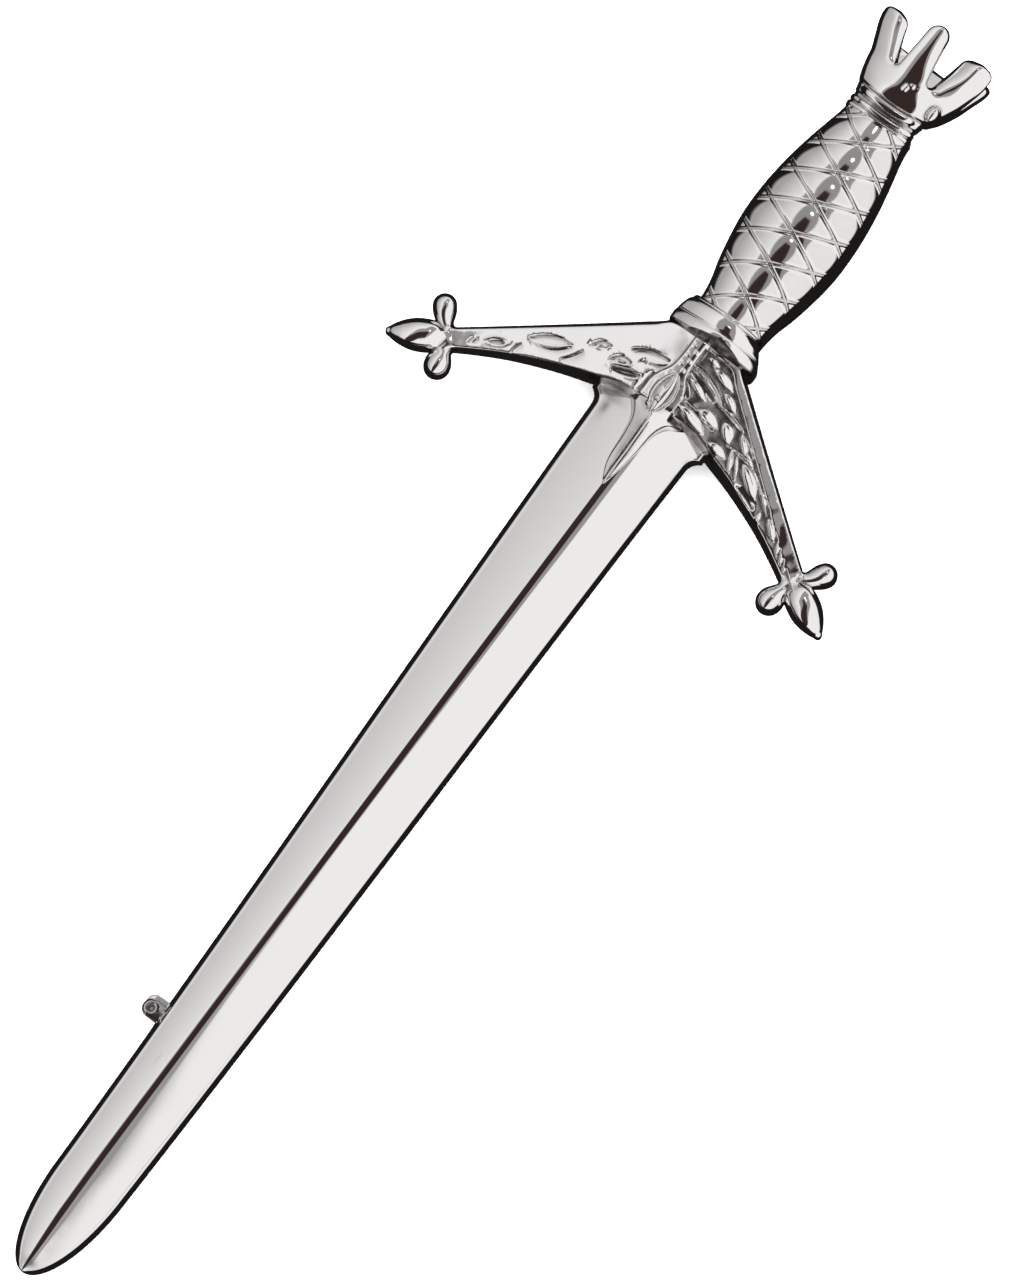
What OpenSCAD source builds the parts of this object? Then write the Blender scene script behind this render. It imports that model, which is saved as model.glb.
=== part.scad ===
// Sword-shaped kilt pin: a cast sword, the pin bar behind it and the catch lever.
// The tip of the blade points along -Y, the front faces +Z and the floor is at z = 0.
// Every length is in millimetres.

/* [Blade] */
// Length of the blade from its tip to the guard
blade_len = 68; // [56:1:80]
// Width of the blade at the guard
blade_w = 7.6; // [6.4:0.1:9]
// Width of the blade where its rounded point begins
blade_end_w = 5.2; // [4.2:0.1:6.2]
// Length of the rounded point
point_len = 7.4; // [5:0.2:12]
// Height of the side walls above the flat back
blade_wall = 1.3; // [0.9:0.1:1.8]
// Rise of the centre ridge above the side walls
ridge_rise = 1.2; // [0.7:0.1:1.5]
// Width of the flat on top of the ridge
ridge_w = 0.7; // [0.4:0.1:1.2]
// Size of the bevel along the edges
edge_bevel = 0.22; // [0.1:0.02:0.4]
// Radius of the fillets between blade and guard
root_fillet = 1.0; // [0.5:0.1:1.6]

/* [Guard] */
// Width from the tip of one finial to the tip of the other
guard_span = 34.4; // [28:0.4:42]
// Height of the guard at its middle
guard_h = 6.2; // [5:0.2:8]
// Thickness of the guard at its middle
guard_t = 3.0; // [2.6:0.1:3.6]
// Thickness of the arms at their ends
arm_end_t = 2.1; // [1.6:0.1:2.5]
// Length of each finial beyond its arm
finial_len = 4.2; // [3.4:0.2:5.2]
// Thickness of the finials
finial_t = 2.6; // [2.2:0.1:3]
// Step from the blade's back up to the back of the hilt
hilt_step = 0.12; // [0.06:0.02:0.3]
// Height of the leaves above the arms
leaf_h = 0.4; // [0.15:0.05:0.5]
// Length of the raised tongue over the blade
tongue_len = 5.4; // [4:0.2:8]
// Width of the almond leaf at the middle of the guard
almond_w = 1.7; // [1.2:0.1:2.2]

/* [Collar] */
// Length of the collar between guard and grip
collar_len = 2.5; // [1.8:0.1:3.4]
// Width of the collar
collar_w = 6.8; // [6:0.1:7.6]
// Thickness of the collar
collar_t = 4.6; // [4:0.1:5.2]
// Depth of the groove round the collar
collar_groove = 0.15; // [0.05:0.05:0.3]

/* [Grip] */
// Length of the grip
grip_len = 16.3; // [13:0.1:20]
// Width of the grip at its widest
grip_w = 7.3; // [6.2:0.1:8.4]
// Thickness of the grip at its widest
grip_t = 4.4; // [3.8:0.1:5]
// Height of the straight side walls of grip and collar
side_wall = 1.2; // [0.8:0.1:1.6]
// Distance between lattice crossings along the grip
lattice_pitch = 2.5; // [2:0.1:3.2]
// Depth of the grooves beside the lattice bands
lattice_depth = 0.4; // [0.2:0.02:0.5]

/* [Crown] */
// Length of the crown pommel
crown_len = 7.0; // [5.6:0.2:8.4]
// Width over the tips of the crown
crown_w = 8.2; // [7:0.2:9.6]
// Thickness over the tips of the crown
crown_t = 5.2; // [4.6:0.1:5.8]
// Radius of the rounded tips
prong_r = 0.62; // [0.45:0.01:0.75]
// Wall of the cup between the prongs
cup_wall = 0.8; // [0.6:0.1:1.1]

/* [Pin bar] */
// Distance from the tip of the blade to the middle of the catch
catch_y = 18.6; // [14:0.2:24]
// Distance from the tip of the blade to the hinge
hinge_y = 71.5; // [64:0.5:74]
// Distance from the back of the casting to the axis of the needle
pin_drop = 2.6; // [2.4:0.1:3.4]
// Width of the flat bar
bar_w = 3.4; // [2.8:0.1:4.4]
// Thickness of the flat bar
bar_t = 0.6; // [0.4:0.1:0.8]
// Radius of the cast pegs that hold the bar
peg_r = 0.8; // [0.6:0.05:1]
// Radius of the needle
needle_r = 0.5; // [0.4:0.05:0.6]
// Length of the needle's sharpened end
needle_taper = 5; // [3:0.5:8]
// Reach of the needle past the catch
needle_over = 1.0; // [0.4:0.1:2]
// Outer radius of the hinge ears and of the catch housing
housing_r = 1.5; // [1.45:0.05:1.7]
// Thickness of each hinge ear
ear_t = 0.6; // [0.4:0.1:0.9]
// Length of the catch housing
catch_len = 3.2; // [2.8:0.1:4]

/* [Catch lever] */
// Outer radius of the turning sleeve
sleeve_r = 1.1; // [1.05:0.05:1.15]
// Distance from the needle's axis to the end of the thumb tab
tab_reach = 4.0; // [3.4:0.1:5]
// Width of each leaf of the thumb tab
tab_w = 1.2; // [0.9:0.1:1.3]
// Thickness of each leaf of the thumb tab
tab_t = 0.32; // [0.25:0.01:0.36]
// How far the rear leaf is set along the blade from the front one
tab_offset = 0.35; // [0.2:0.05:0.5]

/* [Fits] */
// Radial clearance of the sleeve in its housing
sleeve_clearance = 0.05; // [0.03:0.01:0.1]
// Radial clearance of the needle in the sleeve
needle_clearance = 0.15; // [0.1:0.05:0.2]
// Gap between the bar and what it is fastened to
seat_gap = 0.05; // [0.02:0.01:0.08]

/* [Hidden] */
$fn = 48;
eps = 0.01;
// Small steps between the backs of the hilt's forms, so that no two lie in one plane
back_stagger = 0.03;
// Width of the blade at its very tip, as a share of its width behind the point
tip_blunt = 0.1;
// Share of the root fillet that shows before the guard covers it
fillet_share = 0.95;
// Largest shares of the blade's half width that a bevel and the ridge's flat may take
bevel_limit = 0.4;
flat_limit = 0.3;
// Bevel of the arms, a little wider than the blade's
arm_bevel = edge_bevel * 1.2;
// Sides of the rounded lobes of a finial
lobe_sides = 14;
// Steps of the lattice from one crossing to the next, and rise of its pillows as a share of the grooves
steps_per_pitch = 8;
pillow_share = 1.15;
// Half the turn that one prong takes round the crown, and the lowest share of the rim between prongs
prong_half_turn = 13.5;
valley = 0.46;
// Rise of a valley towards its prongs, and how far it reaches in half turns of a prong
valley_rise = 0.14;
valley_reach = 2.2;
// Height and spread of the heads of the pegs
head_t = 0.4;
head_spread = 0.45;
// Lips at both ends of the catch housing that keep the sleeve in
lip_t = 0.3;
// Turn round the needle's axis over which the housing is open
open_from = 155;
open_to = 305;

// Places along the sword, measured from the tip of the blade
guard_y = blade_len;
collar_y = guard_y + guard_h;
grip_y = collar_y + collar_len;
crown_y = grip_y + grip_len;
overall_len = crown_y + crown_len;
back_z = pin_drop + housing_r;
arm_reach = guard_span / 2 - finial_len;
peg_places = [catch_y + catch_len / 2 + 4, hinge_y - housing_r - 4];

// Shares of the arm's reach, of the guard's height (lower and upper edge) and of the fall in thickness
arm_sections = [
    // reach, low, high, fall
    [0.00, 0.10, 1.00, 0.00],
    [0.22, 0.06, 0.98, 0.10],
    [0.36, 0.01, 0.74, 0.25],
    [0.62, -0.12, 0.30, 0.60],
    [0.81, -0.34, -0.02, 0.82],
    [1.00, -0.54, -0.32, 1.00],
];

// Lobes of a finial as shares of its length: place along and up, radius, for the tip and for the neck
finial_lobes = [
    // tip_x, tip_y, tip_r, neck_x, neck_y, neck_r
    [0.50, 0.31, 0.175, 0.20, 0.02, 0.095],
    [0.06, -0.43, 0.200, 0.10, -0.14, 0.100],
    [0.60, -0.26, 0.180, 0.05, -0.02, 0.110],
    [0.92, -0.42, 0.080, 0.62, -0.27, 0.165],
];

// Leaves on the left arm: shares of the arm's reach and of its height there, then length, width and turn
left_leaves = [
    // reach, up, length, width, turn
    [0.21, 0.57, 2.6, 0.80, 24],
    [0.32, 0.50, 1.5, 0.75, 20],
    [0.26, 0.22, 2.3, 0.70, 18],
    [0.43, 0.62, 1.2, 0.75, 50],
    [0.46, 0.20, 1.6, 0.90, 30],
    [0.64, 0.55, 2.7, 0.95, 32],
    [0.86, 0.50, 1.5, 0.60, 36],
];
right_leaves = [
    // reach, up, length, width, turn
    [0.12, 0.80, 2.4, 0.80, -14],
    [0.24, 0.76, 1.7, 0.70, -22],
    [0.10, 0.52, 2.2, 0.75, -16],
    [0.19, 0.38, 2.0, 0.80, -8],
    [0.34, 0.55, 2.2, 0.75, -18],
    [0.16, 0.22, 2.3, 0.80, -26],
    [0.45, 0.68, 1.8, 0.65, -40],
    [0.34, 0.16, 1.8, 0.70, -12],
    [0.46, 0.26, 1.9, 0.75, -52],
    [0.59, 0.50, 2.9, 0.95, -36],
    [0.75, 0.52, 1.6, 0.75, -48],
    [0.89, 0.50, 1.5, 0.65, -44],
];

// Outline of the grip: shares of its length and of its half width
grip_outline = [
    // length, width
    [0.00, 0.71],
    [0.08, 0.77],
    [0.18, 0.88],
    [0.30, 0.97],
    [0.42, 1.00],
    [0.52, 0.99],
    [0.64, 0.95],
    [0.78, 0.85],
    [0.92, 0.70],
    [1.00, 0.66],
];

// Outline of the collar: shares of its length and of its half width
collar_outline = [
    // length, width
    [-0.10, 0.88],
    [0.08, 0.98],
    [0.24, 1.00],
    [0.42, 0.98],
    [0.62, 0.92],
    [0.82, 0.82],
    [0.88, 0.76],
    [1.04, 0.75],
];

// Outline of the crown: shares of its length and of its half width
crown_outline = [
    // length, width
    [-0.10, 0.58],
    [0.04, 0.58],
    [0.06, 0.66],
    [0.15, 0.67],
    [0.17, 0.60],
    [0.24, 0.65],
    [0.32, 0.70],
    [0.44, 0.77],
    [0.70, 0.90],
    [1.00, 1.00],
];

// Prongs of the crown: turn round the oval and height as a share of the crown's length
prongs = [
    // turn, height
    [-145, 0.86],
    [-90, 0.80],
    [-35, 0.93],
    [35, 0.94],
    [90, 1.00],
    [145, 0.88],
];

// Closed skin over a list of rings with the same number of points; split(i, j) turns a quad's diagonal
module skin(rings, split = function(i, j) false) {
    count = len(rings);
    around = len(rings[0]);
    points = [for (ring = rings) each ring];
    at = function(i, j) i * around + j % around;
    sides = [for (i = [0 : count - 2]) for (j = [0 : around - 1])
        each split(i, j)
            ? [[at(i, j), at(i, j + 1), at(i + 1, j)], [at(i, j + 1), at(i + 1, j + 1), at(i + 1, j)]]
            : [[at(i, j), at(i, j + 1), at(i + 1, j + 1)], [at(i, j), at(i + 1, j + 1), at(i + 1, j)]]];
    first = [for (j = [around - 1 : -1 : 0]) at(0, j)];
    last = [for (j = [0 : around - 1]) at(count - 1, j)];
    polyhedron(points, concat(sides, [first, last]), convexity = 8);
}

// Half width of the blade at distance y from its tip
function blade_half(y) =
    let (run = min(1, y / point_len))
    let (straight = (y - point_len) / (blade_len - point_len))
    let (taper = blade_end_w + (blade_w - blade_end_w) * max(0, straight))
    let (into = min(fillet_share, max(0, y - blade_len + root_fillet) / root_fillet))
    let (flare = root_fillet * (1 - sqrt(1 - pow(into, 2))) / 2)
    taper / 2 * sqrt(max(pow(tip_blunt, 2), 1 - pow(1 - run, 2))) + flare;

function blade_ring(y) =
    let (half = blade_half(y))
    let (slope = ridge_rise / (blade_w / 2))
    let (bevel = min(edge_bevel, half * bevel_limit))
    let (flat = min(ridge_w / 2, half * flat_limit))
    let (shoulder = blade_wall + slope * (half - bevel - flat))
    [for (p = [
        [-half, 0],
        [half, 0],
        [half, blade_wall - bevel],
        [half - bevel, blade_wall],
        [flat, shoulder],
        [0, shoulder + flat * slope / 2],
        [-flat, shoulder],
        [-half + bevel, blade_wall],
        [-half, blade_wall - bevel]])
        [p[0], y, p[1]]];

module blade() {
    point_steps = 12;
    fillet_steps = 4;
    point_rows = [for (k = [0 : point_steps]) point_len * (1 - cos(90 * k / point_steps))];
    fillet_rows = [for (k = [0 : fillet_steps]) blade_len - root_fillet * (1 - k / fillet_steps)];
    rows = concat(point_rows, fillet_rows, [guard_y + guard_h / 2]);
    skin([for (y = rows) blade_ring(y)]);
}

// Edges, middle and front of an arm at a share of its reach
function arm_low(share) = guard_y + guard_h * lookup(share, [for (row = arm_sections) [row[0], row[1]]]);
function arm_high(share) = guard_y + guard_h * lookup(share, [for (row = arm_sections) [row[0], row[2]]]);
function arm_front(share) =
    guard_t - (guard_t - arm_end_t) * lookup(share, [for (row = arm_sections) [row[0], row[3]]]);

// Ring round both arms at a share of the reach, from -1 to 1: straight walls, bevelled edges, a crowned face
function arm_ring(share) =
    let (low = arm_low(abs(share)))
    let (high = arm_high(abs(share)))
    let (front = arm_front(abs(share)))
    [for (p = [
        [low, 0],
        [low, front - arm_bevel],
        [low + arm_bevel, front],
        [(low + high) / 2, front + arm_bevel / 2],
        [high - arm_bevel, front],
        [high, front - arm_bevel],
        [high, 0]])
        [arm_reach * share, p[0], p[1]]];

module arms() {
    shares = [for (row = arm_sections) row[0]];
    last = len(shares) - 1;
    skin([
        for (k = [last : -1 : 0]) arm_ring(-shares[k]),
        for (k = [1 : last]) arm_ring(shares[k])]);
}

// A raised leaf: pointed at both ends, with a ridge along its middle
module leaf(long, wide, high) {
    steps = 6;
    bury = 0.3;
    end_half = 0.07;
    end_rise = 0.25;
    rim = high * 0.1;
    rotate([0, 0, -90])
        skin([for (k = [0 : steps])
            let (t = k / steps)
            let (half = max(end_half, wide / 2 * sin(180 * t)))
            let (top = high * (end_rise + (1 - end_rise) * sin(180 * t)))
            [for (p = [[-half, -bury], [half, -bury], [half, rim], [0, top], [-half, rim]])
                [p[0], long * (t - 1 / 2), p[1]]]]);
}

module leaves(rows) {
    for (row = rows) {
        low = arm_low(row[0]);
        high = arm_high(row[0]);
        translate([arm_reach * row[0], low + (high - low) * row[1], arm_front(row[0])])
            rotate([0, 0, row[4]])
                leaf(row[2], row[3], leaf_h + edge_bevel / 2);
    }
}

// A rounded post that stands on the back plane and ends in a dome
module post(r, high) {
    cylinder(r = r, h = high - r);
    translate([0, 0, high - r])
        sphere(r = r);
}

module finial() {
    middle = (arm_low(1) + arm_high(1)) / 2;
    translate([arm_reach, middle, back_stagger])
        for (lobe = finial_lobes)
            hull($fn = lobe_sides) {
                translate([lobe[0] * finial_len, lobe[1] * finial_len, 0])
                    post(lobe[2] * finial_len, finial_t);
                translate([lobe[3] * finial_len, lobe[4] * finial_len, 0])
                    post(lobe[5] * finial_len, arm_end_t * (1 + lobe[5]));
            }
}

// The tongue that runs from the guard down over the blade's ridge, with hollow shoulders
module tongue() {
    steps = 8;
    start = guard_y + guard_h * 0.25;
    low = blade_wall + ridge_rise * 0.4;
    tip_half = 0.08;
    shoulder_half = 1.92;
    stem_half = almond_w * 0.32;
    lift = 0.12;
    round_off = 0.15;
    shoulder = 0.7;
    skin([for (k = [0 : steps])
        let (t = k / steps)
        let (half = tip_half + shoulder_half * pow(t, 4) + stem_half * t)
        let (top = blade_wall + ridge_rise + lift + (guard_t - blade_wall - ridge_rise) * pow(t, 1.5))
        let (side = top - round_off)
        [for (p = [[-half, low], [half, low], [half * shoulder, side], [0, top], [-half * shoulder, side]])
            [p[0], start - tongue_len * (1 - t), p[1]]]]);
}

module guard_centre() {
    almond_len = guard_h * 0.55;
    almond_y = guard_y + guard_h * 0.34;
    almond_rise = 0.15;
    seed_len = almond_len * 0.55;
    seed_w = almond_w * 0.4;
    seed_h = 0.25;
    beads = 4;
    bead_r = 0.3;
    bead_pitch = 1.8 * bead_r;
    bead_lift = 0.05;
    translate([0, almond_y, guard_t])
        rotate([0, 0, 90]) {
            leaf(almond_len, almond_w, leaf_h + almond_rise);
            translate([0, 0, leaf_h])
                leaf(seed_len, seed_w, seed_h);
        }
    for (k = [0 : beads - 1])
        translate([0, almond_y + almond_len / 2 + bead_r + bead_pitch * k, guard_t + bead_lift])
            sphere(r = bead_r, $fn = 10);
}

module guard() {
    arms();
    for (side = [0, 1])
        mirror([side, 0, 0])
            finial();
    leaves(right_leaves);
    mirror([1, 0, 0])
        leaves([for (row = left_leaves) [row[0], row[1], row[2], row[3], -row[4]]]);
    tongue();
    guard_centre();
}

// Section of grip and collar: flat back, straight walls and a domed front
function dome_ring(y, half, front, angles, relief = function(a) 0) =
    concat(
        [for (a = angles)
            let (out = relief(a))
            [(half + out) * sin(a), y, side_wall + (front - side_wall + out) * cos(a)]],
        [[-half, y, 0], [half, y, 0]]);

module collar() {
    turn = 90 / steps_per_pitch;
    angles = [for (a = [90 : -turn : -90]) a];
    groove_at = 0.53;
    groove_half = 0.05;
    groove = function(share) abs(share - groove_at) < groove_half / 2 ? collar_groove : 0;
    shares = concat(
        [for (row = collar_outline) if (row[0] < groove_at) row[0]],
        [groove_at - groove_half, groove_at, groove_at + groove_half],
        [for (row = collar_outline) if (row[0] > groove_at) row[0]]);
    skin([for (share = shares)
        let (size = lookup(share, collar_outline))
        dome_ring(collar_y + collar_len * share, collar_w / 2 * size - groove(share),
                  side_wall + (collar_t - side_wall) * size - groove(share), angles)]);
}

// Lattice of crossing bands: steps sit on the grid's diagonals, so each band is a crisp ridge
function band_distance(k) =
    let (step = (k + steps_per_pitch * steps_per_pitch) % steps_per_pitch)
    min(step, steps_per_pitch - step);
function lattice_relief(i, j) =
    let (first = band_distance(i + j))
    let (second = band_distance(i - j))
    let (puff = sin(180 * first / steps_per_pitch) * sin(180 * second / steps_per_pitch))
    min(first, second) == 0 ? 0 : lattice_depth * (pillow_share * puff - 1);

module grip() {
    turn = 90 / steps_per_pitch;
    rise = lattice_pitch / steps_per_pitch;
    rows = ceil(grip_len / rise);
    columns = steps_per_pitch;
    fade_rate = 24;
    roundness = 0.65;
    angles = [for (j = [columns : -1 : -columns]) j * turn];
    skin(
        [for (i = [0 : rows])
            let (share = i / rows)
            let (size = lookup(share, grip_outline))
            let (fade = min(1, fade_rate * share, fade_rate * (1 - share)))
            dome_ring(grip_y + grip_len * share, grip_w / 2 * size,
                      side_wall + (grip_t - side_wall) * (1 - roundness * (1 - size)), angles,
                      function(a) fade * lattice_relief(i, round(a / turn)))],
        function(i, j)
            let (column = columns - j)
            band_distance(i - column + 1) < band_distance(i + column));
}

// Height of the crown's rim at a turn round it: prongs with rounded tops over V-shaped valleys
function turn_between(a, b) = abs((a - b + 540) % 360 - 180);
function rim_height(turn) =
    max([for (row = prongs)
        let (d = turn_between(turn, row[0]) / prong_half_turn)
        let (finger = sqrt(1 - pow(min(d, 1), 4)))
        let (flare = valley_rise * max(0, 1 - d / valley_reach))
        valley + (row[1] - valley - flare) * finger + flare]);

// A point of the crown's oval section
function crown_point(turn, share, inset) =
    let (size = lookup(share, crown_outline))
    [(crown_w / 2 * size - inset) * cos(turn),
     crown_y + crown_len * share,
     crown_t / 2 + (crown_t / 2 * size - inset) * sin(turn)];

module crown() {
    cup_top = 0.42;
    cup_floor = 0.28;
    floor_inset = cup_wall * 1.2;
    top_edges = [0.28, 0.72];
    steps = [-1.7, -1.15, -1, -0.94, -0.75, -0.4, 0, 0.4, 0.75, 0.94, 1, 1.15, 1.7];
    turns = concat([-180],
        [for (row = prongs) if (row[0] < 0) each [for (k = steps) row[0] + k * prong_half_turn]],
        [0],
        [for (row = prongs) if (row[0] > 0) each [for (k = steps) row[0] + k * prong_half_turn]]);
    wall = function(u) cup_wall + (2 * prong_r - cup_wall) * u;
    at_rim = function(turn, u) cup_top + (rim_height(turn) - cup_top) * u;
    ring = function(u, share_of_wall)
        [for (turn = turns) crown_point(turn, at_rim(turn, u), wall(u) * share_of_wall)];
    skin(concat(
        [for (row = crown_outline) if (row[0] < cup_top)
            [for (turn = turns) crown_point(turn, row[0], 0)]],
        [for (u = [0.15, 0.4, 0.65, 0.88]) ring(u, 0)],
        [for (edge = top_edges) ring(1, edge)],
        [for (u = [0.88, 0.5, 0.15]) ring(u, 1)],
        [[for (turn = turns) crown_point(turn, cup_floor, floor_inset)]]));
}

// Pegs on the back, spread over the bar like rivets
module pegs() {
    root = blade_wall / 2;
    under_head = bar_t + 2 * seat_gap;
    for (y = peg_places)
        translate([0, y, 0])
            rotate([180, 0, 0], $fn = 20) {
                translate([0, 0, -root])
                    cylinder(r = peg_r, h = root + under_head + head_t / 2);
                translate([0, 0, under_head])
                    cylinder(r1 = peg_r + head_spread, r2 = peg_r * 0.9, h = head_t);
            }
}

module sword() {
    color("silver")
        translate([0, -overall_len / 2, back_z]) {
            blade();
            pegs();
            translate([0, 0, hilt_step])
                guard();
            translate([0, 0, hilt_step + back_stagger]) {
                collar();
                crown();
            }
            translate([0, 0, hilt_step + 2 * back_stagger])
                grip();
        }
}

// A flat strip with round ends along Y, between two distances from the tip
module strip(y0, y1, wide, thick) {
    linear_extrude(thick)
        difference() {
            union() {
                translate([-wide / 2, y0 + wide / 2])
                    square([wide, y1 - y0 - wide]);
                translate([0, y0 + wide / 2])
                    circle(d = wide);
                translate([0, y1 - wide / 2])
                    circle(d = wide);
            }
            for (y = peg_places)
                translate([0, y])
                    circle(r = peg_r + 2 * seat_gap);
        }
}

// A round bar along Y from one distance to another, on the needle's axis
module along_y(y0, y1, r) {
    translate([0, y0, -pin_drop])
        rotate([-90, 0, 0])
            cylinder(r = r, h = y1 - y0);
}

// The part of a ring that the catch housing leaves open, so that lever and needle can move
module mouth(y0, y1) {
    far = housing_r * 3;
    open_step = 15;
    translate([0, y1, -pin_drop])
        rotate([90, 0, 0])
            linear_extrude(y1 - y0)
                polygon(concat([[0, 0]],
                    [for (a = [open_from : open_step : open_to]) [far * cos(a), far * sin(a)]]));
}

module catch_housing() {
    y0 = catch_y - catch_len / 2;
    y1 = catch_y + catch_len / 2;
    bore_r = sleeve_r + sleeve_clearance;
    neck_w = bar_w * 0.6;
    difference() {
        union() {
            along_y(y0, y1, housing_r);
            translate([-neck_w / 2, y0, -pin_drop + sleeve_r])
                cube([neck_w, catch_len, pin_drop - sleeve_r - seat_gap - bar_t / 2]);
        }
        along_y(y0 + lip_t, y1 - lip_t, bore_r);
        along_y(y0 - eps, y1 + eps, needle_r + needle_clearance);
        mouth(y0 - eps, y1 + eps);
    }
}

module hinge() {
    barrel_r = housing_r * 0.72;
    for (side = [-1, 1])
        translate([side * (bar_w - ear_t) / 2 - ear_t / 2, hinge_y, 0]) {
            translate([0, 0, -pin_drop])
                rotate([0, 90, 0])
                    cylinder(r = housing_r, h = ear_t);
            translate([0, -housing_r, -pin_drop])
                cube([ear_t, 2 * housing_r, pin_drop - seat_gap - bar_t / 2]);
        }
    translate([-bar_w / 2 + eps, hinge_y, -pin_drop])
        rotate([0, 90, 0])
            cylinder(r = barrel_r, h = bar_w - 2 * eps);
}

module needle() {
    tip_y = catch_y - catch_len / 2 - needle_over;
    point_r = needle_r * 0.12;
    along_y(tip_y + needle_taper, hinge_y, needle_r);
    translate([0, tip_y + needle_taper, -pin_drop])
        rotate([90, 0, 0])
            cylinder(r1 = needle_r, r2 = point_r, h = needle_taper);
}

module pin_bar() {
    past_catch = 1;
    past_hinge = 0.6;
    color("lightsteelblue")
        translate([0, -overall_len / 2, back_z]) {
            translate([0, 0, -seat_gap - bar_t])
                strip(catch_y - catch_len / 2 - past_catch, hinge_y + housing_r + past_hinge, bar_w, bar_t);
            catch_housing();
            hinge();
            needle();
        }
}

// One leaf of the thumb tab, round at its end, from the sleeve outwards along -X
module tab_leaf(y, z) {
    translate([0, y, z])
        linear_extrude(tab_t) {
            translate([-tab_reach + tab_w / 2, -tab_w / 2])
                square([tab_reach - tab_w / 2 - sleeve_r * 0.75, tab_w]);
            translate([-tab_reach + tab_w / 2, 0])
                circle(d = tab_w);
        }
}

module catch_lever() {
    half = catch_len / 2 - lip_t - sleeve_clearance;
    bore_r = needle_r + needle_clearance;
    front_y = catch_y - tab_offset / 2;
    rear_y = catch_y + tab_offset / 2;
    end_x = -tab_reach + tab_w / 2;
    leaf_z = -pin_drop + 0.02;
    ring_r = tab_w * 0.36;
    ring_h = 0.12;
    dimple_r = tab_w * 0.2;
    color("gainsboro")
        translate([0, -overall_len / 2, back_z])
            difference() {
                union() {
                    along_y(catch_y - half, catch_y + half, sleeve_r);
                    tab_leaf(front_y, leaf_z);
                    tab_leaf(rear_y, leaf_z - tab_t);
                    translate([end_x, front_y, -pin_drop + tab_t])
                        cylinder(r = ring_r, h = ring_h);
                }
                along_y(catch_y - half - eps, catch_y + half + eps, bore_r);
                translate([-bore_r, catch_y - half - eps, -pin_drop])
                    cube([2 * bore_r, 2 * half + 2 * eps, 2 * sleeve_r]);
                translate([end_x, front_y, -pin_drop + tab_t])
                    cylinder(r = dimple_r, h = sleeve_r);
            }
}

sword();
pin_bar();
catch_lever();
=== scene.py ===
import math
from functools import partial

import bpy
import numpy as np
import openvdb
from mathutils import Matrix, Vector


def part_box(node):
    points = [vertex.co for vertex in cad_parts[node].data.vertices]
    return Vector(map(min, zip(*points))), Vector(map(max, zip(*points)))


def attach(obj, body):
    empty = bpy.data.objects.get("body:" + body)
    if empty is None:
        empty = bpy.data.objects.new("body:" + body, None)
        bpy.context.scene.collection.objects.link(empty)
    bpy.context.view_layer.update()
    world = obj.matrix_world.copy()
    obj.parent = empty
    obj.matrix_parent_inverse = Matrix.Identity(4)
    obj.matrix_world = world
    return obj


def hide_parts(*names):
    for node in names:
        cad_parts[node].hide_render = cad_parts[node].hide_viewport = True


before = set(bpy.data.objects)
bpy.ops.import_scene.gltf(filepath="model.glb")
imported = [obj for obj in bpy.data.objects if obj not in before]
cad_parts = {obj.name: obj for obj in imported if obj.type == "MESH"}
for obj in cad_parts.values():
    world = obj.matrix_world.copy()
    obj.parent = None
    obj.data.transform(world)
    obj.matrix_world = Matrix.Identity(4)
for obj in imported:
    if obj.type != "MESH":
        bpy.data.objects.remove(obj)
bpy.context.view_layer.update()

# Everything is drawn in millimetres: across the sword, along it from the tip, and up from its flat back
mm = 0.001
seatGap = 0.05                                      # between the pin bar and the sword's back
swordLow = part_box("sword")[0]
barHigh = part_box("pin_bar")[1]
origin = np.array([0.0, swordLow.y, barHigh.z + seatGap * mm])


def toFrame(points):
    return np.asarray(points, float) * mm + origin


def newMesh(name, points, faces):
    mesh = bpy.data.meshes.new(name)
    mesh.from_pydata(toFrame(points).tolist(), [], faces)
    mesh.validate()
    mesh.shade_smooth()
    piece = bpy.data.objects.new(name, mesh)
    bpy.context.scene.collection.objects.link(piece)
    return piece


def skinFaces(rows, around):
    grid = np.arange(rows * around).reshape(rows, around)
    a = grid[:-1].ravel()
    b = np.roll(grid, -1, axis=1)[:-1].ravel()
    c = np.roll(grid, -1, axis=1)[1:].ravel()
    d = grid[1:].ravel()
    faces = np.stack([a, b, c, d], axis=1).tolist()
    faces.append(grid[0][::-1].tolist())
    faces.append(grid[-1].tolist())
    return faces


def smoothStep(low, high, value):
    t = np.clip((value - low) / (high - low), 0, 1)
    return t * t * (3 - 2 * t)


def softMax(a, b, radius):
    h = np.clip(0.5 + 0.5 * (a - b) / radius, 0, 1)
    return b + (a - b) * h + radius * h * (1 - h)


def softMin(a, b, radius):
    return -softMax(-a, -b, radius)


def curveThrough(places, values, samples=400):
    places, values = np.asarray(places, float), np.asarray(values, float)
    step = np.diff(places)
    slope = np.diff(values) / step
    lean = np.concatenate([[slope[0]], (slope[:-1] + slope[1:]) / 2, [slope[-1]]])
    lean[1:-1][slope[:-1] * slope[1:] <= 0] = 0
    at = np.linspace(places[0], places[-1], samples)
    k = np.clip(np.searchsorted(places, at, side="right") - 1, 0, len(step) - 1)
    t = (at - places[k]) / step[k]
    y = (values[k] * (1 + 2 * t) * (1 - t) ** 2 + values[k + 1] * t * t * (3 - 2 * t)
         + step[k] * (lean[k] * t * (1 - t) ** 2 - lean[k + 1] * t * t * (1 - t)))
    return lambda x: np.interp(x, at, y)


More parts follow.
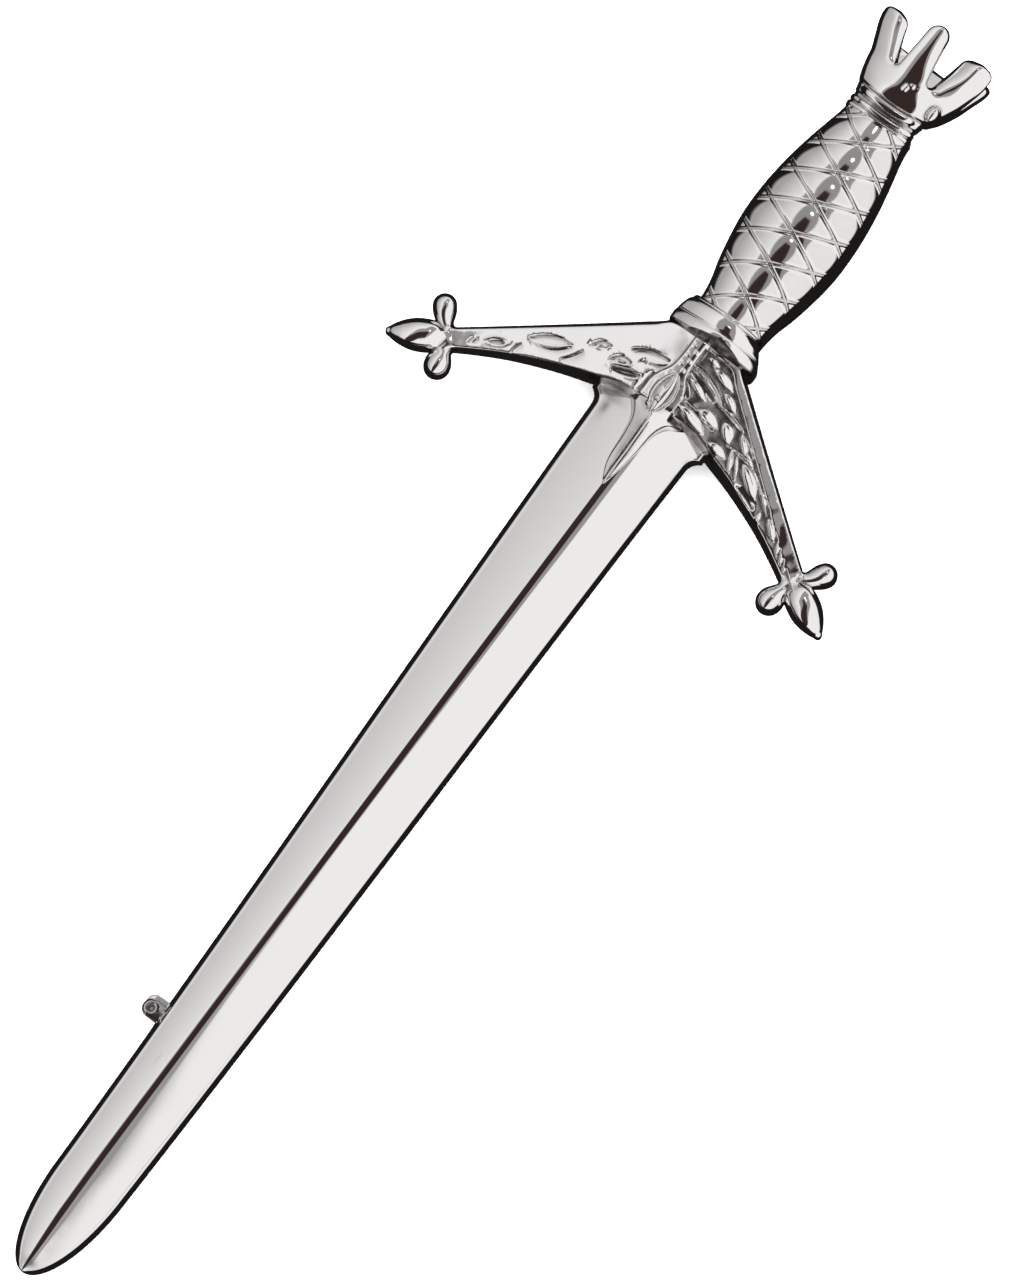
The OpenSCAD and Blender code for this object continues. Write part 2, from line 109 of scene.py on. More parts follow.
# Camera at the photograph's viewing angle
photoView = {
    "across": 0.727, "along": 50.96, "above": 2.0,  # the sword's point in the middle of the picture
    "up": (-0.594, 0.8045),
    "height": 82.3,
    "distance": 650.0,
    "tilt": 10.0,                                   # degrees, towards the picture's lower edge
}


def addCamera(view):
    up = np.array([*view["up"], 0.0]) / np.hypot(*view["up"])
    tilt = math.radians(view["tilt"])
    outward = -up * math.sin(tilt) + np.array([0, 0, 1]) * math.cos(tilt)
    target = toFrame([view["across"], view["along"], view["above"]])
    place = target + outward * view["distance"] * mm
    right = np.cross(up, outward)
    right /= np.linalg.norm(right)
    trueUp = np.cross(outward, right)
    lens = bpy.data.cameras.new("camera")
    lens.sensor_fit = "VERTICAL"
    lens.sensor_height = 36.0
    lens.lens = 36.0 * view["distance"] / view["height"]
    lens.clip_start = 0.01
    lens.clip_end = 10.0
    camera = bpy.data.objects.new("camera", lens)
    camera.matrix_world = Matrix([
        [right[0], trueUp[0], outward[0], place[0]],
        [right[1], trueUp[1], outward[1], place[1]],
        [right[2], trueUp[2], outward[2], place[2]],
        [0, 0, 0, 1]])
    bpy.context.scene.collection.objects.link(camera)
    bpy.context.scene.camera = camera


addCamera(photoView)
print("camera placed")


# Small helpers for node trees and for the painted shade and grime in the metals' recesses
def link(tree, value, socket):
    if isinstance(value, bpy.types.NodeSocket):
        tree.links.new(value, socket)
    elif value is not None:
        socket.default_value = value


def calc(tree, operation, *values, clamp=False):
    node = tree.nodes.new("ShaderNodeMath")
    node.operation = operation
    node.use_clamp = clamp
    for socket, value in zip(node.inputs, values):
        link(tree, value, socket)
    return node.outputs[0]


def mapped(tree, value, fromLow, fromHigh, toLow=0.0, toHigh=1.0, smooth=False):
    node = tree.nodes.new("ShaderNodeMapRange")
    node.interpolation_type = "SMOOTHSTEP" if smooth else "LINEAR"
    for socket, v in zip(node.inputs, (value, fromLow, fromHigh, toLow, toHigh)):
        link(tree, v, socket)
    return node.outputs[0]


def between(tree, value, low, high, soft):
    rising = mapped(tree, value, low - soft, low + soft, smooth=True)
    falling = mapped(tree, value, high + soft, high - soft, smooth=True)
    return calc(tree, "MULTIPLY", rising, falling)


def blended(tree, share, first, second):
    node = tree.nodes.new("ShaderNodeMix")
    node.data_type = "RGBA"
    link(tree, share, node.inputs["Factor"])
    link(tree, first, node.inputs["A"])
    link(tree, second, node.inputs["B"])
    return node.outputs["Result"]


def sums(tree):
    return [partial(calc, tree, name) for name in ("ADD", "SUBTRACT", "MULTIPLY", "DIVIDE")]


# Stores on each point how strongly painted shade and grime darken it
def setShadeAndGrime(piece, values):
    mark = piece.data.attributes.new("shadeAndGrime", "FLOAT", "POINT")
    mark.data.foreach_set("value", values.astype(np.float32))


# The studio round the metal: white walls left and right, a grey ceiling band, dark slots and a dark horizon
studio = {
    "leftWall": (0.88, 0.87, 0.87, 1), "leftEnd": (0.42, 0.415, 0.41, 1),
    "leftEndFrom": -22.0, "leftEndTo": -66.0,
    "rightWall": (0.90, 0.895, 0.89, 1),
    "ceiling": (0.31, 0.30, 0.30, 1), "ceilingLeft": -19.0, "ceilingRight": 17.5,
    "ceilingFrom": -48.0, "ceilingTo": 62.0,
    "slot": (0.035, 0.022, 0.020, 1), "slotHalf": 5.5, "slotTop": 15.0, "slotWiden": 0.19,
    "lamp": (3.0, 3.0, 3.0, 1), "lampAcross": 1.5, "lampAlong": 27.0, "lampRadius": 3.2, "lampSoft": 0.5,
    "dark": (0.012, 0.010, 0.010, 1), "horizon": 13.0, "horizonSoft": 4.0, "soft": 1.6,
    "backdrop": (1.0, 1.0, 1.0, 1),
}


def buildStudio(look):
    world = bpy.data.worlds.new("studio")
    bpy.context.scene.world = world
    world.use_nodes = True
    tree = world.node_tree
    tree.nodes.clear()
    add, subtract, multiply = sums(tree)[:3]
    direction = tree.nodes.new("ShaderNodeTexCoord").outputs["Generated"]
    parts = tree.nodes.new("ShaderNodeSeparateXYZ")
    tree.links.new(direction, parts.inputs[0])
    x, y, z = parts.outputs
    degrees = 180 / math.pi
    across = multiply(calc(tree, "ARCTAN2", x, z), degrees)
    along = multiply(calc(tree, "ARCTAN2", y, z), degrees)
    height = multiply(calc(tree, "ARCSINE", z), degrees)
    soft = look["soft"]
    aside = calc(tree, "ABSOLUTE", across)
    fade = mapped(tree, across, look["leftEndFrom"], look["leftEndTo"])
    left = blended(tree, fade, look["leftWall"], look["leftEnd"])
    colour = blended(tree, mapped(tree, across, -20, 20, smooth=True), left, look["rightWall"])
    inBand = multiply(between(tree, across, look["ceilingLeft"], look["ceilingRight"], soft),
                      between(tree, along, look["ceilingFrom"], look["ceilingTo"], soft))
    colour = blended(tree, inBand, colour, look["ceiling"])
    below = calc(tree, "MAXIMUM", subtract(look["slotTop"], along), 0.0)
    slotHalf = add(look["slotHalf"], multiply(below, look["slotWiden"]))
    inSlot = mapped(tree, subtract(aside, slotHalf), soft, -soft, smooth=True)
    under = mapped(tree, along, look["slotTop"] + 2 * soft, look["slotTop"] - 2 * soft, smooth=True)
    inSlot = multiply(inSlot, under)
    colour = blended(tree, inSlot, colour, look["slot"])
    lampFar = calc(tree, "POWER", subtract(across, look["lampAcross"]), 2.0)
    lampFar = add(lampFar, calc(tree, "POWER", subtract(along, look["lampAlong"]), 2.0))
    inLamp = mapped(tree, calc(tree, "SQRT", lampFar), look["lampRadius"] + look["lampSoft"],
                    look["lampRadius"] - look["lampSoft"], smooth=True)
    colour = blended(tree, inLamp, colour, look["lamp"])
    low = mapped(tree, height, look["horizon"] + look["horizonSoft"],
                 look["horizon"] - look["horizonSoft"], smooth=True)
    colour = blended(tree, low, colour, look["dark"])
    seen = tree.nodes.new("ShaderNodeLightPath").outputs["Is Camera Ray"]
    colour = blended(tree, seen, colour, look["backdrop"])
    background = tree.nodes.new("ShaderNodeBackground")
    tree.links.new(colour, background.inputs["Color"])
    output = tree.nodes.new("ShaderNodeOutputWorld")
    tree.links.new(background.outputs[0], output.inputs["Surface"])
    bpy.context.scene.view_settings.view_transform = "Standard"


buildStudio(studio)
print("studio built")


# Shader groups shared by the metals
def newGroup(name, inputs, outputs):
    group = bpy.data.node_groups.new(name, "ShaderNodeTree")
    for label, kind, value in inputs:
        socket = group.interface.new_socket(label, in_out="INPUT", socket_type=kind)
        socket.default_value = value
    for label, kind in outputs:
        group.interface.new_socket(label, in_out="OUTPUT", socket_type=kind)
    return group, group.nodes.new("NodeGroupInput"), group.nodes.new("NodeGroupOutput")


def makePolish():
    tree, given, result = newGroup(
        "handPolish",
        [("Place", "NodeSocketVector", (0, 0, 0)), ("Base Roughness", "NodeSocketFloat", 0.05),
         ("Smear", "NodeSocketFloat", 0.03), ("Grain", "NodeSocketFloat", 900.0)],
        [("Roughness", "NodeSocketFloat"), ("Height", "NodeSocketFloat")])
    cloud = tree.nodes.new("ShaderNodeTexNoise")
    cloud.inputs["Scale"].default_value = 260.0
    cloud.inputs["Detail"].default_value = 4.0
    tree.links.new(given.outputs["Place"], cloud.inputs["Vector"])
    grain = tree.nodes.new("ShaderNodeTexNoise")
    tree.links.new(given.outputs["Place"], grain.inputs["Vector"])
    tree.links.new(given.outputs["Grain"], grain.inputs["Scale"])
    grain.inputs["Detail"].default_value = 2.0
    patch = mapped(tree, cloud.outputs["Fac"], 0.35, 0.75, smooth=True)
    rough = calc(tree, "ADD", given.outputs["Base Roughness"],
                 calc(tree, "MULTIPLY", patch, given.outputs["Smear"]))
    tree.links.new(rough, result.inputs["Roughness"])
    height = calc(tree, "ADD", calc(tree, "MULTIPLY", cloud.outputs["Fac"], 0.6),
                  calc(tree, "MULTIPLY", grain.outputs["Fac"], 0.08))
    tree.links.new(height, result.inputs["Height"])
    return tree


# Painted shade and grime: mixes the metal towards a dark brown where the mask is high
def makeShadeAndGrime():
    tree, given, result = newGroup(
        "grooveShadeAndGrime",
        [("Place", "NodeSocketVector", (0, 0, 0)), ("ShadeAndGrimeMask", "NodeSocketFloat", 0.0),
         ("Amount", "NodeSocketFloat", 0.6), ("Metal", "NodeSocketColor", (0.8, 0.8, 0.8, 1)),
         ("ShadeAndGrimeColour", "NodeSocketColor", (0.07, 0.045, 0.04, 1))],
        [("Color", "NodeSocketColor"), ("Mask", "NodeSocketFloat")])
    breakUp = tree.nodes.new("ShaderNodeTexNoise")
    breakUp.inputs["Scale"].default_value = 1400.0
    breakUp.inputs["Detail"].default_value = 3.0
    tree.links.new(given.outputs["Place"], breakUp.inputs["Vector"])
    mask = calc(tree, "MULTIPLY", given.outputs["ShadeAndGrimeMask"],
                mapped(tree, breakUp.outputs["Fac"], 0.25, 0.6, 0.6, 1.0))
    mask = calc(tree, "MULTIPLY", mask, given.outputs["Amount"], clamp=True)
    tree.links.new(mask, result.inputs["Mask"])
    colour = blended(tree, mask, given.outputs["Metal"], given.outputs["ShadeAndGrimeColour"])
    tree.links.new(colour, result.inputs["Color"])
    return tree


polishGroup = makePolish()
shadeAndGrimeGroup = makeShadeAndGrime()


def metal(name, colour, roughness, smear, shadeAndGrimeAmount, bump, grain=900.0):
    material = bpy.data.materials.new(name)
    material.use_nodes = True
    tree = material.node_tree
    shader = tree.nodes["Principled BSDF"]
    shader.inputs["Metallic"].default_value = 1.0
    place = tree.nodes.new("ShaderNodeTexCoord").outputs["Object"]
    # Painted shade and grime from the point mask darken the base colour and roughen the metal
    shadeAndGrime = tree.nodes.new("ShaderNodeAttribute")
    shadeAndGrime.attribute_name = "shadeAndGrime"
    shadeAndGrimeNode = tree.nodes.new("ShaderNodeGroup")
    shadeAndGrimeNode.node_tree = shadeAndGrimeGroup
    tree.links.new(place, shadeAndGrimeNode.inputs["Place"])
    tree.links.new(shadeAndGrime.outputs["Fac"], shadeAndGrimeNode.inputs["ShadeAndGrimeMask"])
    shadeAndGrimeNode.inputs["Amount"].default_value = shadeAndGrimeAmount
    shadeAndGrimeNode.inputs["Metal"].default_value = colour
    tree.links.new(shadeAndGrimeNode.outputs["Color"], shader.inputs["Base Color"])
    polish = tree.nodes.new("ShaderNodeGroup")
    polish.node_tree = polishGroup
    tree.links.new(place, polish.inputs["Place"])
    polish.inputs["Base Roughness"].default_value = roughness
    polish.inputs["Smear"].default_value = smear
    polish.inputs["Grain"].default_value = grain
    dull = calc(tree, "MULTIPLY", shadeAndGrimeNode.outputs["Mask"], 0.25)
    rough = calc(tree, "ADD", polish.outputs["Roughness"], dull)
    tree.links.new(rough, shader.inputs["Roughness"])
    relief = tree.nodes.new("ShaderNodeBump")
    relief.inputs["Strength"].default_value = bump
    relief.inputs["Distance"].default_value = 0.00002
    tree.links.new(polish.outputs["Height"], relief.inputs["Height"])
    tree.links.new(relief.outputs["Normal"], shader.inputs["Normal"])
    return material


# The fifth number is how strongly painted shade and grime darken each metal
castChrome = metal("castChrome", (0.93, 0.92, 0.915, 1), 0.045, 0.03, 0.92, 0.25)
bladeChrome = metal("bladeChrome", (0.93, 0.92, 0.915, 1), 0.05, 0.03, 0.6, 0.15)
platedSteel = metal("platedSteel", (0.78, 0.78, 0.79, 1), 0.16, 0.08, 0.6, 0.4, grain=2400.0)
platedSheet = metal("platedSheet", (0.86, 0.85, 0.84, 1), 0.08, 0.05, 0.7, 0.3)
print("metals made")


# Blade: flat back, straight walls, a rounded rim, a broad facet each side of a narrow crest
blade = {
    "length": 68.0, "rootHalf": 3.8, "pointHalf": 2.6, "pointLength": 7.4, "blunt": 0.02,
    "wall": 1.3, "rim": 0.22, "slope": 0.316,
    "crestLeft": -0.31, "crestRight": 0.10, "crestTilt": 3.0, "bandTilt": 10.0,
    "crestShift": [(-0.1, 0.12), (0.6, 0.14), (2.0, 0.13), (4.5, 0.06), (10.0, 0.0), (72.0, 0.0)],
    "band": [(-0.1, 0.20), (10.0, 0.26), (16.0, 0.20), (27.0, 0.15), (45.0, 0.26), (60.0, 0.46),
             (72.0, 0.52)],
    "bend": [(-0.1, 0.08), (9.5, 0.14), (61.0, -0.40), (72.0, -0.46)],
    "fillet": 1.0, "backEdge": 0.06, "draftLeft": 0.34, "draftRight": 0.16,
    "bowLeft": 0.045, "bowRight": 0.012,
    # Painted shade by the guard, and painted dark reflections along the right edge and near the point
    "shadePatches": [
        # x, y, half width, half length, strength
        (-3.25, 67.2, 0.28, 0.75, 1.0), (-3.0, 67.9, 0.8, 0.25, 0.6), (3.15, 66.2, 0.10, 0.5, 0.9),
        (3.10, 65.0, 0.07, 0.6, 0.6), (3.25, 67.3, 0.2, 0.3, 0.6), (-1.0, 16.0, 0.08, 0.3, 0.35),
        (0.45, 13.6, 0.2, 0.25, 0.2), (3.12, 63.9, 0.06, 0.4, 0.5), (0.7, 4.6, 0.55, 2.6, 0.22),
        (0.9, 2.0, 0.5, 1.4, 0.25), (0.2, 0.7, 0.5, 0.35, 0.9),
    ],
}
bladeBend, bladeBand, crestShift = (curveThrough(*np.array(blade[name]).T)
                                    for name in ("bend", "band", "crestShift"))


def bladeHalf(y, flared=True):
    b = blade
    run = np.clip(y / b["pointLength"], 0, 1)
    straight = np.clip((y - b["pointLength"]) / (b["length"] - b["pointLength"]), 0, 1)
    taper = b["pointHalf"] + (b["rootHalf"] - b["pointHalf"]) * straight
    into = np.clip((y - b["length"] + b["fillet"]) / b["fillet"], 0, 0.97)
    flare = b["fillet"] * (1 - np.sqrt(1 - into ** 2)) * 0.8
    return taper * np.sqrt(np.clip(1 - (1 - run) ** 2, b["blunt"] ** 2, 1)) + (flare if flared else 0)


# The flat of the blade's front between the two rims: left end, right end
def bladeFlat(y, flared=True):
    b = blade
    half = bladeHalf(y, flared)
    rim = np.minimum(b["rim"], half * 0.35)
    left = bladeBend(y) - half + np.minimum(b["draftLeft"], half * 0.3) + rim
    right = bladeBend(y) + half - np.minimum(b["draftRight"], half * 0.3) - rim
    return left, right, rim


def bladeTop(x, y):
    b = blade
    low, high, rim = bladeFlat(y, False)
    share = np.clip(bladeHalf(y) / 2.4, 0.02, 1)
    left, middle, right = b["crestLeft"] * share, b["crestRight"] * share, bladeBand(y) * share
    left, middle, right = (v + crestShift(y) for v in (left, middle, right))
    crest = b["wall"] + b["slope"] * (left - low)
    middleTop = crest - math.tan(math.radians(b["crestTilt"])) * (middle - left)
    bandEnd = middleTop - math.tan(math.radians(b["bandTilt"])) * (right - middle)
    rightSlope = (bandEnd - b["wall"]) / np.maximum(high - right, 0.01)
    across = np.where(x < left, (x - low) / np.maximum(left - low, 0.01),
                      (high - x) / np.maximum(high - right, 0.01))
    bow = np.where(x < left, b["bowLeft"], b["bowRight"]) * np.clip(1 - (across * 2 - 1) ** 2, 0, 1) * share
    sides = softMin(crest + b["slope"] * (x - left), bandEnd - rightSlope * (x - right), 0.008)
    strips = softMin(crest - math.tan(math.radians(b["crestTilt"])) * (x - left),
                     middleTop - math.tan(math.radians(b["bandTilt"])) * (x - middle), 0.004)
    return softMin(strips, sides, 0.012) + bow


def makeBlade():
    b = blade
    turn = np.linspace(0, math.pi / 2, 70)
    rows = np.concatenate([
        b["pointLength"] * (1 - np.cos(turn)),
        np.linspace(b["pointLength"], b["length"] - b["fillet"], 150)[1:],
        np.linspace(b["length"] - b["fillet"], b["length"], 16)[1:],
        [b["length"] + 1.5, b["length"] + 3.0]])
    arc = np.linspace(math.radians(8), math.radians(72), 9)
    shares = np.concatenate([np.linspace(1, 0.16, 22), np.linspace(0.15, -0.12, 34),
                             np.linspace(-0.14, -1, 24)])
    shares = (1 + shares) / 2
    points = []
    for y in rows:
        foot, bend = float(bladeHalf(y)), float(bladeBend(y))
        low, high, rim = (float(v) for v in bladeFlat(y))
        edge = min(b["backEdge"], foot * 0.3)
        x = low + shares * (high - low)
        z = bladeTop(x, y)
        leftTop, rightTop = float(bladeTop(low, y)) - rim, float(bladeTop(high, y)) - rim
        ring = [(bend - foot + edge, 0), (bend + foot - edge, 0)]
        ring += [(bend + foot + (high + rim - bend - foot) * k, edge + (rightTop - edge) * k)
                 for k in (0, 0.33, 0.66)]
        ring += [(high + rim * math.cos(a), rightTop + rim * math.sin(a)) for a in arc]
        ring += list(zip(x, z))
        ring += [(low - rim * math.cos(a), leftTop + rim * math.sin(a)) for a in arc[::-1]]
        ring += [(bend - foot + (low - rim - bend + foot) * k, edge + (leftTop - edge) * k)
                 for k in (0.66, 0.33, 0)]
        points += [(px, y, pz) for px, pz in ring]
    piece = newMesh("blade", points, skinFaces(len(rows), len(points) // len(rows)))
    x, y, z = np.array(points).T
    # Painted shade and painted dark reflections: the blade's dark patches, on the front only
    shadePatch = sum(strength * np.exp(-((x - sx) / wide) ** 2 - ((y - sy) / long) ** 2)
                for sx, sy, wide, long, strength in b["shadePatches"])
    setShadeAndGrime(piece, np.clip(shadePatch * (z > 0.9), 0, 1))
    return piece


bladePiece = makeBlade()
bladePiece.data.materials.append(bladeChrome)
print("blade made")


def fieldPiece(name, low, high, voxel, field, merge=0.0):
    axes = [np.arange(a, b + voxel, voxel) for a, b in zip(low, high)]
    x, y, z = axes[0][:, None, None], axes[1][None, :, None], axes[2][None, None, :]
    values = np.ascontiguousarray(np.broadcast_to(field(x, y, z), [len(a) for a in axes]), np.float32)
    grid = openvdb.FloatGrid(background=1.0)
    grid.copyFromArray(values)
    points, triangles, quads = grid.convertToPolygons(isovalue=0.0, adaptivity=merge)
    points = points * voxel + np.asarray(low)
    step = 0.01
    for k in range(3):                              # move the points onto the exact surface
        here = field(*points.T)
        rise = np.stack([field(*(points + step * axis).T) - here for axis in np.eye(3)], axis=1) / step
        move = -here[:, None] * rise / np.maximum((rise ** 2).sum(axis=1), 0.25)[:, None]
        far = np.maximum(np.linalg.norm(move, axis=1, keepdims=True) / (voxel * 0.5), 1)
        points = points + move / far
    piece = newMesh(name, points, triangles.tolist() + quads.tolist())
    print(name, len(points), "points", len(triangles) + 2 * len(quads), "triangles")
    return piece


# Marks how deep each point lies in a groove, for the painted shade and grime that darken the recesses
def markRecessShade(piece, steps, depth, extra=None):
    mesh = piece.data
    count = len(mesh.vertices)
    place = np.empty(count * 3)
    mesh.vertices.foreach_get("co", place)
    place = place.reshape(-1, 3) / mm
    normal = np.empty(count * 3)
    mesh.vertices.foreach_get("normal", normal)
    normal = normal.reshape(-1, 3)
    edges = np.empty(len(mesh.edges) * 2, int)
    mesh.edges.foreach_get("vertices", edges)
    a, b = edges.reshape(-1, 2).T
    valence = np.maximum(np.bincount(a, minlength=count) + np.bincount(b, minlength=count), 1)[:, None]
    smooth = place.copy()
    for k in range(steps):
        total = np.stack([np.bincount(a, smooth[b, i], count) + np.bincount(b, smooth[a, i], count)
                          for i in range(3)], axis=1)
        smooth = total / valence
    lift = ((smooth - place) * normal).sum(axis=1)
    value = np.clip(lift / depth, 0, 1)
    if extra:
        value = np.maximum(value, extra((place - origin / mm).T, normal.T))
    setShadeAndGrime(piece, value)


# Guard: two arms with carved leaves, a beaded almond in the middle, a tongue down the blade, and finials
guard = {
    "shift": -0.4, "turn": 0.009, "draftHigh": 0.21, "draftLow": 0.10, "lean": 0.06, "edge": 0.14,
    "reach": 13.9, "border": 1.05, "borderSoft": 0.07, "sunk": 0.30, "waves": 0.006, "back": 0.12,
    "voxel": 0.06,
}
armLow = curveThrough([0, 3.9, 5, 6.2, 8, 10, 12, 13, 14.5],
                      [68.35, 68.28, 67.98, 67.62, 66.97, 66.12, 65.08, 64.5, 63.6])
armHigh = curveThrough([0, 2.5, 2.9, 3.2, 4, 13, 14.5], [75.1, 75.0, 74.7, 74.4, 73.76, 66.74, 65.6])
armFront = curveThrough([0, 0.25, 13.0, 14.3], [3.43, 3.41, 1.78, 1.70])
armSteps = np.linspace(0, 14.5, 300)
armLean = np.hypot(1, np.gradient(armLow(armSteps), armSteps))

strokes = [
    # x, y to x, y, bend, half width, depth: grooves cut in the arms; a negative depth is a raised line
    (-9.80, 67.90, -7.25, 69.10, 0.32, 0.09, 0.15),
    (-9.75, 67.85, -7.25, 69.00, -0.30, 0.11, -0.06),
    (-9.70, 67.75, -7.10, 68.95, -0.46, 0.09, 0.05),
    (-11.75, 66.22, -10.95, 66.66, 0.05, 0.09, 0.14),
    (-12.15, 66.00, -10.55, 66.95, 0.27, 0.08, -0.05),
    (-12.10, 65.95, -10.55, 66.85, -0.26, 0.08, -0.05),
    (-12.92, 65.30, -12.78, 65.80, 0.02, 0.09, 0.09),
    (-12.58, 65.45, -12.42, 65.90, 0.02, 0.08, 0.06),
    (-6.25, 69.80, -5.15, 70.50, 0.24, 0.10, 0.17),
    (-6.20, 69.75, -5.10, 70.35, -0.14, 0.11, -0.07),
    (-5.78, 69.98, -5.32, 70.22, 0.03, 0.08, 0.10),
    (-4.68, 69.75, -3.45, 70.32, 0.28, 0.10, 0.17),
    (-4.60, 69.68, -3.30, 70.12, -0.10, 0.10, -0.06),
    (-4.20, 69.95, -3.75, 70.12, 0.05, 0.08, 0.08),
    (-4.25, 69.28, -2.50, 69.92, -0.02, 0.11, 0.24),
    (-4.62, 69.20, -2.20, 69.78, -0.26, 0.10, -0.08),
    (-4.50, 69.48, -2.25, 70.15, 0.14, 0.09, -0.07),
    (-3.88, 71.08, -1.50, 71.86, 0.22, 0.11, 0.24),
    (-3.90, 70.95, -1.52, 71.45, -0.26, 0.11, -0.07),
    (-2.75, 70.98, -2.60, 70.80, 0.0, 0.13, 0.10),
    (-1.78, 70.55, -2.00, 68.95, 0.06, 0.13, 0.30),
    (-7.25, 67.85, -6.40, 69.10, -0.10, 0.16, 0.07),
    (-10.15, 66.35, -9.95, 67.20, 0.04, 0.12, 0.06),
    (0.10, 72.52, 3.00, 71.42, 0.24, 0.20, -0.30),
    (3.00, 71.40, 5.10, 70.95, 0.08, 0.17, -0.26),
    (4.80, 69.60, 7.00, 69.40, 0.12, 0.13, -0.24),
    (7.00, 69.40, 9.40, 67.55, 0.10, 0.12, -0.22),
    (0.20, 72.12, 2.35, 71.42, 0.10, 0.14, 0.20),
    (0.20, 71.30, 0.88, 70.60, 0.03, 0.10, 0.22),
    (1.00, 70.25, 3.40, 69.86, 0.04, 0.09, 0.16),
    (6.85, 67.85, 8.40, 67.35, 0.0, 0.26, 0.16),
    (5.10, 70.80, 6.60, 69.95, 0.12, 0.10, -0.20),
]
rightLeaves = [
    # x, y, half length, half width, turn, height: raised leaves
    (2.10, 72.94, 1.00, 0.34, -14, 0.32),
    (3.30, 71.98, 0.78, 0.30, -24, 0.30),
    (0.95, 73.45, 0.52, 0.20, -8, 0.24),
    (1.40, 73.12, 0.50, 0.13, -20, 0.18),
    (1.11, 71.42, 0.90, 0.27, -20, 0.28),
    (2.76, 70.30, 0.90, 0.46, -6, 0.32),
    (1.92, 69.60, 1.25, 0.42, -14, 0.32),
    (4.29, 70.30, 0.76, 0.46, -40, 0.30),
    (5.67, 70.25, 0.80, 0.28, -42, 0.28),
    (4.40, 68.98, 0.80, 0.36, -4, 0.28),
    (5.52, 68.95, 0.80, 0.22, -62, 0.28),
    (6.05, 68.85, 0.80, 0.15, -58, 0.22),
    (7.27, 68.65, 1.25, 0.46, -34, 0.34),
    (6.60, 69.62, 0.80, 0.16, -34, 0.24),
    (8.75, 68.20, 0.60, 0.18, -42, 0.24),
    (9.12, 67.02, 0.52, 0.22, -80, 0.28),
    (10.24, 66.98, 0.80, 0.28, -40, 0.28),
    (9.95, 67.52, 0.60, 0.14, -38, 0.22),
    (11.25, 66.30, 0.55, 0.18, -64, 0.26),
    (11.78, 65.95, 0.60, 0.17, -60, 0.26),
    (12.30, 65.62, 0.50, 0.15, -62, 0.24),
    (12.35, 66.20, 0.45, 0.13, -40, 0.20),
]


def groove(x, y, stroke):
    x0, y0, x1, y1, bend, wide, depth = stroke
    long = math.hypot(x1 - x0, y1 - y0)
    c, s = (x1 - x0) / long, (y1 - y0) / long
    u = ((x - x0) * c + (y - y0) * s) / long
    v = -(x - x0) * s + (y - y0) * c
    inside = np.clip(u, 0, 1)
    arch = 4 * inside * (1 - inside)
    past = (u - inside) * long
    if x0 < 0 and depth > 0:
        below = bend * arch - v
        far = np.hypot(below / np.where(below < 0, 0.6, 2.3), past) / (wide * (0.45 + 0.55 * np.sqrt(arch)))
        return -0.75 * depth * np.exp(-far ** 2)
    far = np.hypot(v - bend * arch, past) / (wide * (0.45 + 0.55 * np.sqrt(arch)))
    return -depth * np.exp(-far ** 2) * (0.5 if x0 < 0 else 1.0)


def leafRise(x, y, leaf):
    cx, cy, long, wide, turn, rise = leaf
    c, s = math.cos(math.radians(turn)), math.sin(math.radians(turn))
    u = ((x - cx) * c + (y - cy) * s) / long
    v = (-(x - cx) * s + (y - cy) * c) / wide + 0.28 * u * u - 0.1
    width = np.clip(1 - np.abs(u) ** 2.2, 0, 1)
    across = np.abs(v) / np.maximum(width, 0.04)
    body = np.clip(1 - across ** 3, 0, 1) ** 0.45 * np.sqrt(width)
    vein = 0.12 * np.exp(-(v / 0.14) ** 2) * smoothStep(0.15, 0.6, width)
    return (1.15 * rise - 0.20 * (x - cx)) * body * (1 - vein)


def guardRelief(x, y):
    g = guard
    ripple = np.sin(5.1 * x + 1.3 * np.sin(2.9 * y)) + np.sin(4.3 * y + 1.7 * np.sin(2.3 * x))
    relief = g["waves"] * ripple * (0.25 + 0.75 * smoothStep(0, 0.3, x))
    side = np.abs(x - g["shift"])
    deep = (armHigh(side) - y) * 0.79
    ground = (smoothStep(-0.05, 0.15, x)
              * smoothStep(g["border"] - g["borderSoft"], g["border"] + g["borderSoft"], deep))
    raised = np.zeros_like(relief)
    for leaf in rightLeaves:
        raised = softMax(raised, leafRise(x, y, leaf), 0.03)
    for stroke in strokes:
        if stroke[0] > 0 and stroke[6] < 0:
            raised = softMax(raised, groove(x, y, stroke), 0.03)
        else:
            relief = relief + groove(x, y, stroke)
    return relief + (raised - g["sunk"]) * ground


# Middle ornament: a stem of beads, an almond with its seed, and two round seeds
middle = {
    "x": -0.53, "beadsFrom": 71.75, "beadPitch": 0.36, "beads": 6, "bead": 0.20,
    "reach": [(66, 1.2), (69, 1.28), (70, 1.30), (70.8, 1.05), (71.5, 0.66), (72.1, 0.52), (75, 0.50)],
    "almondY": 69.82, "almondHalfLength": 1.70, "almondHalfWidth": 0.80,
    "seeds": [(-0.66, 69.30, 0.19), (-0.96, 68.72, 0.15)],
}
middleReach = curveThrough(*np.array(middle["reach"]).T)


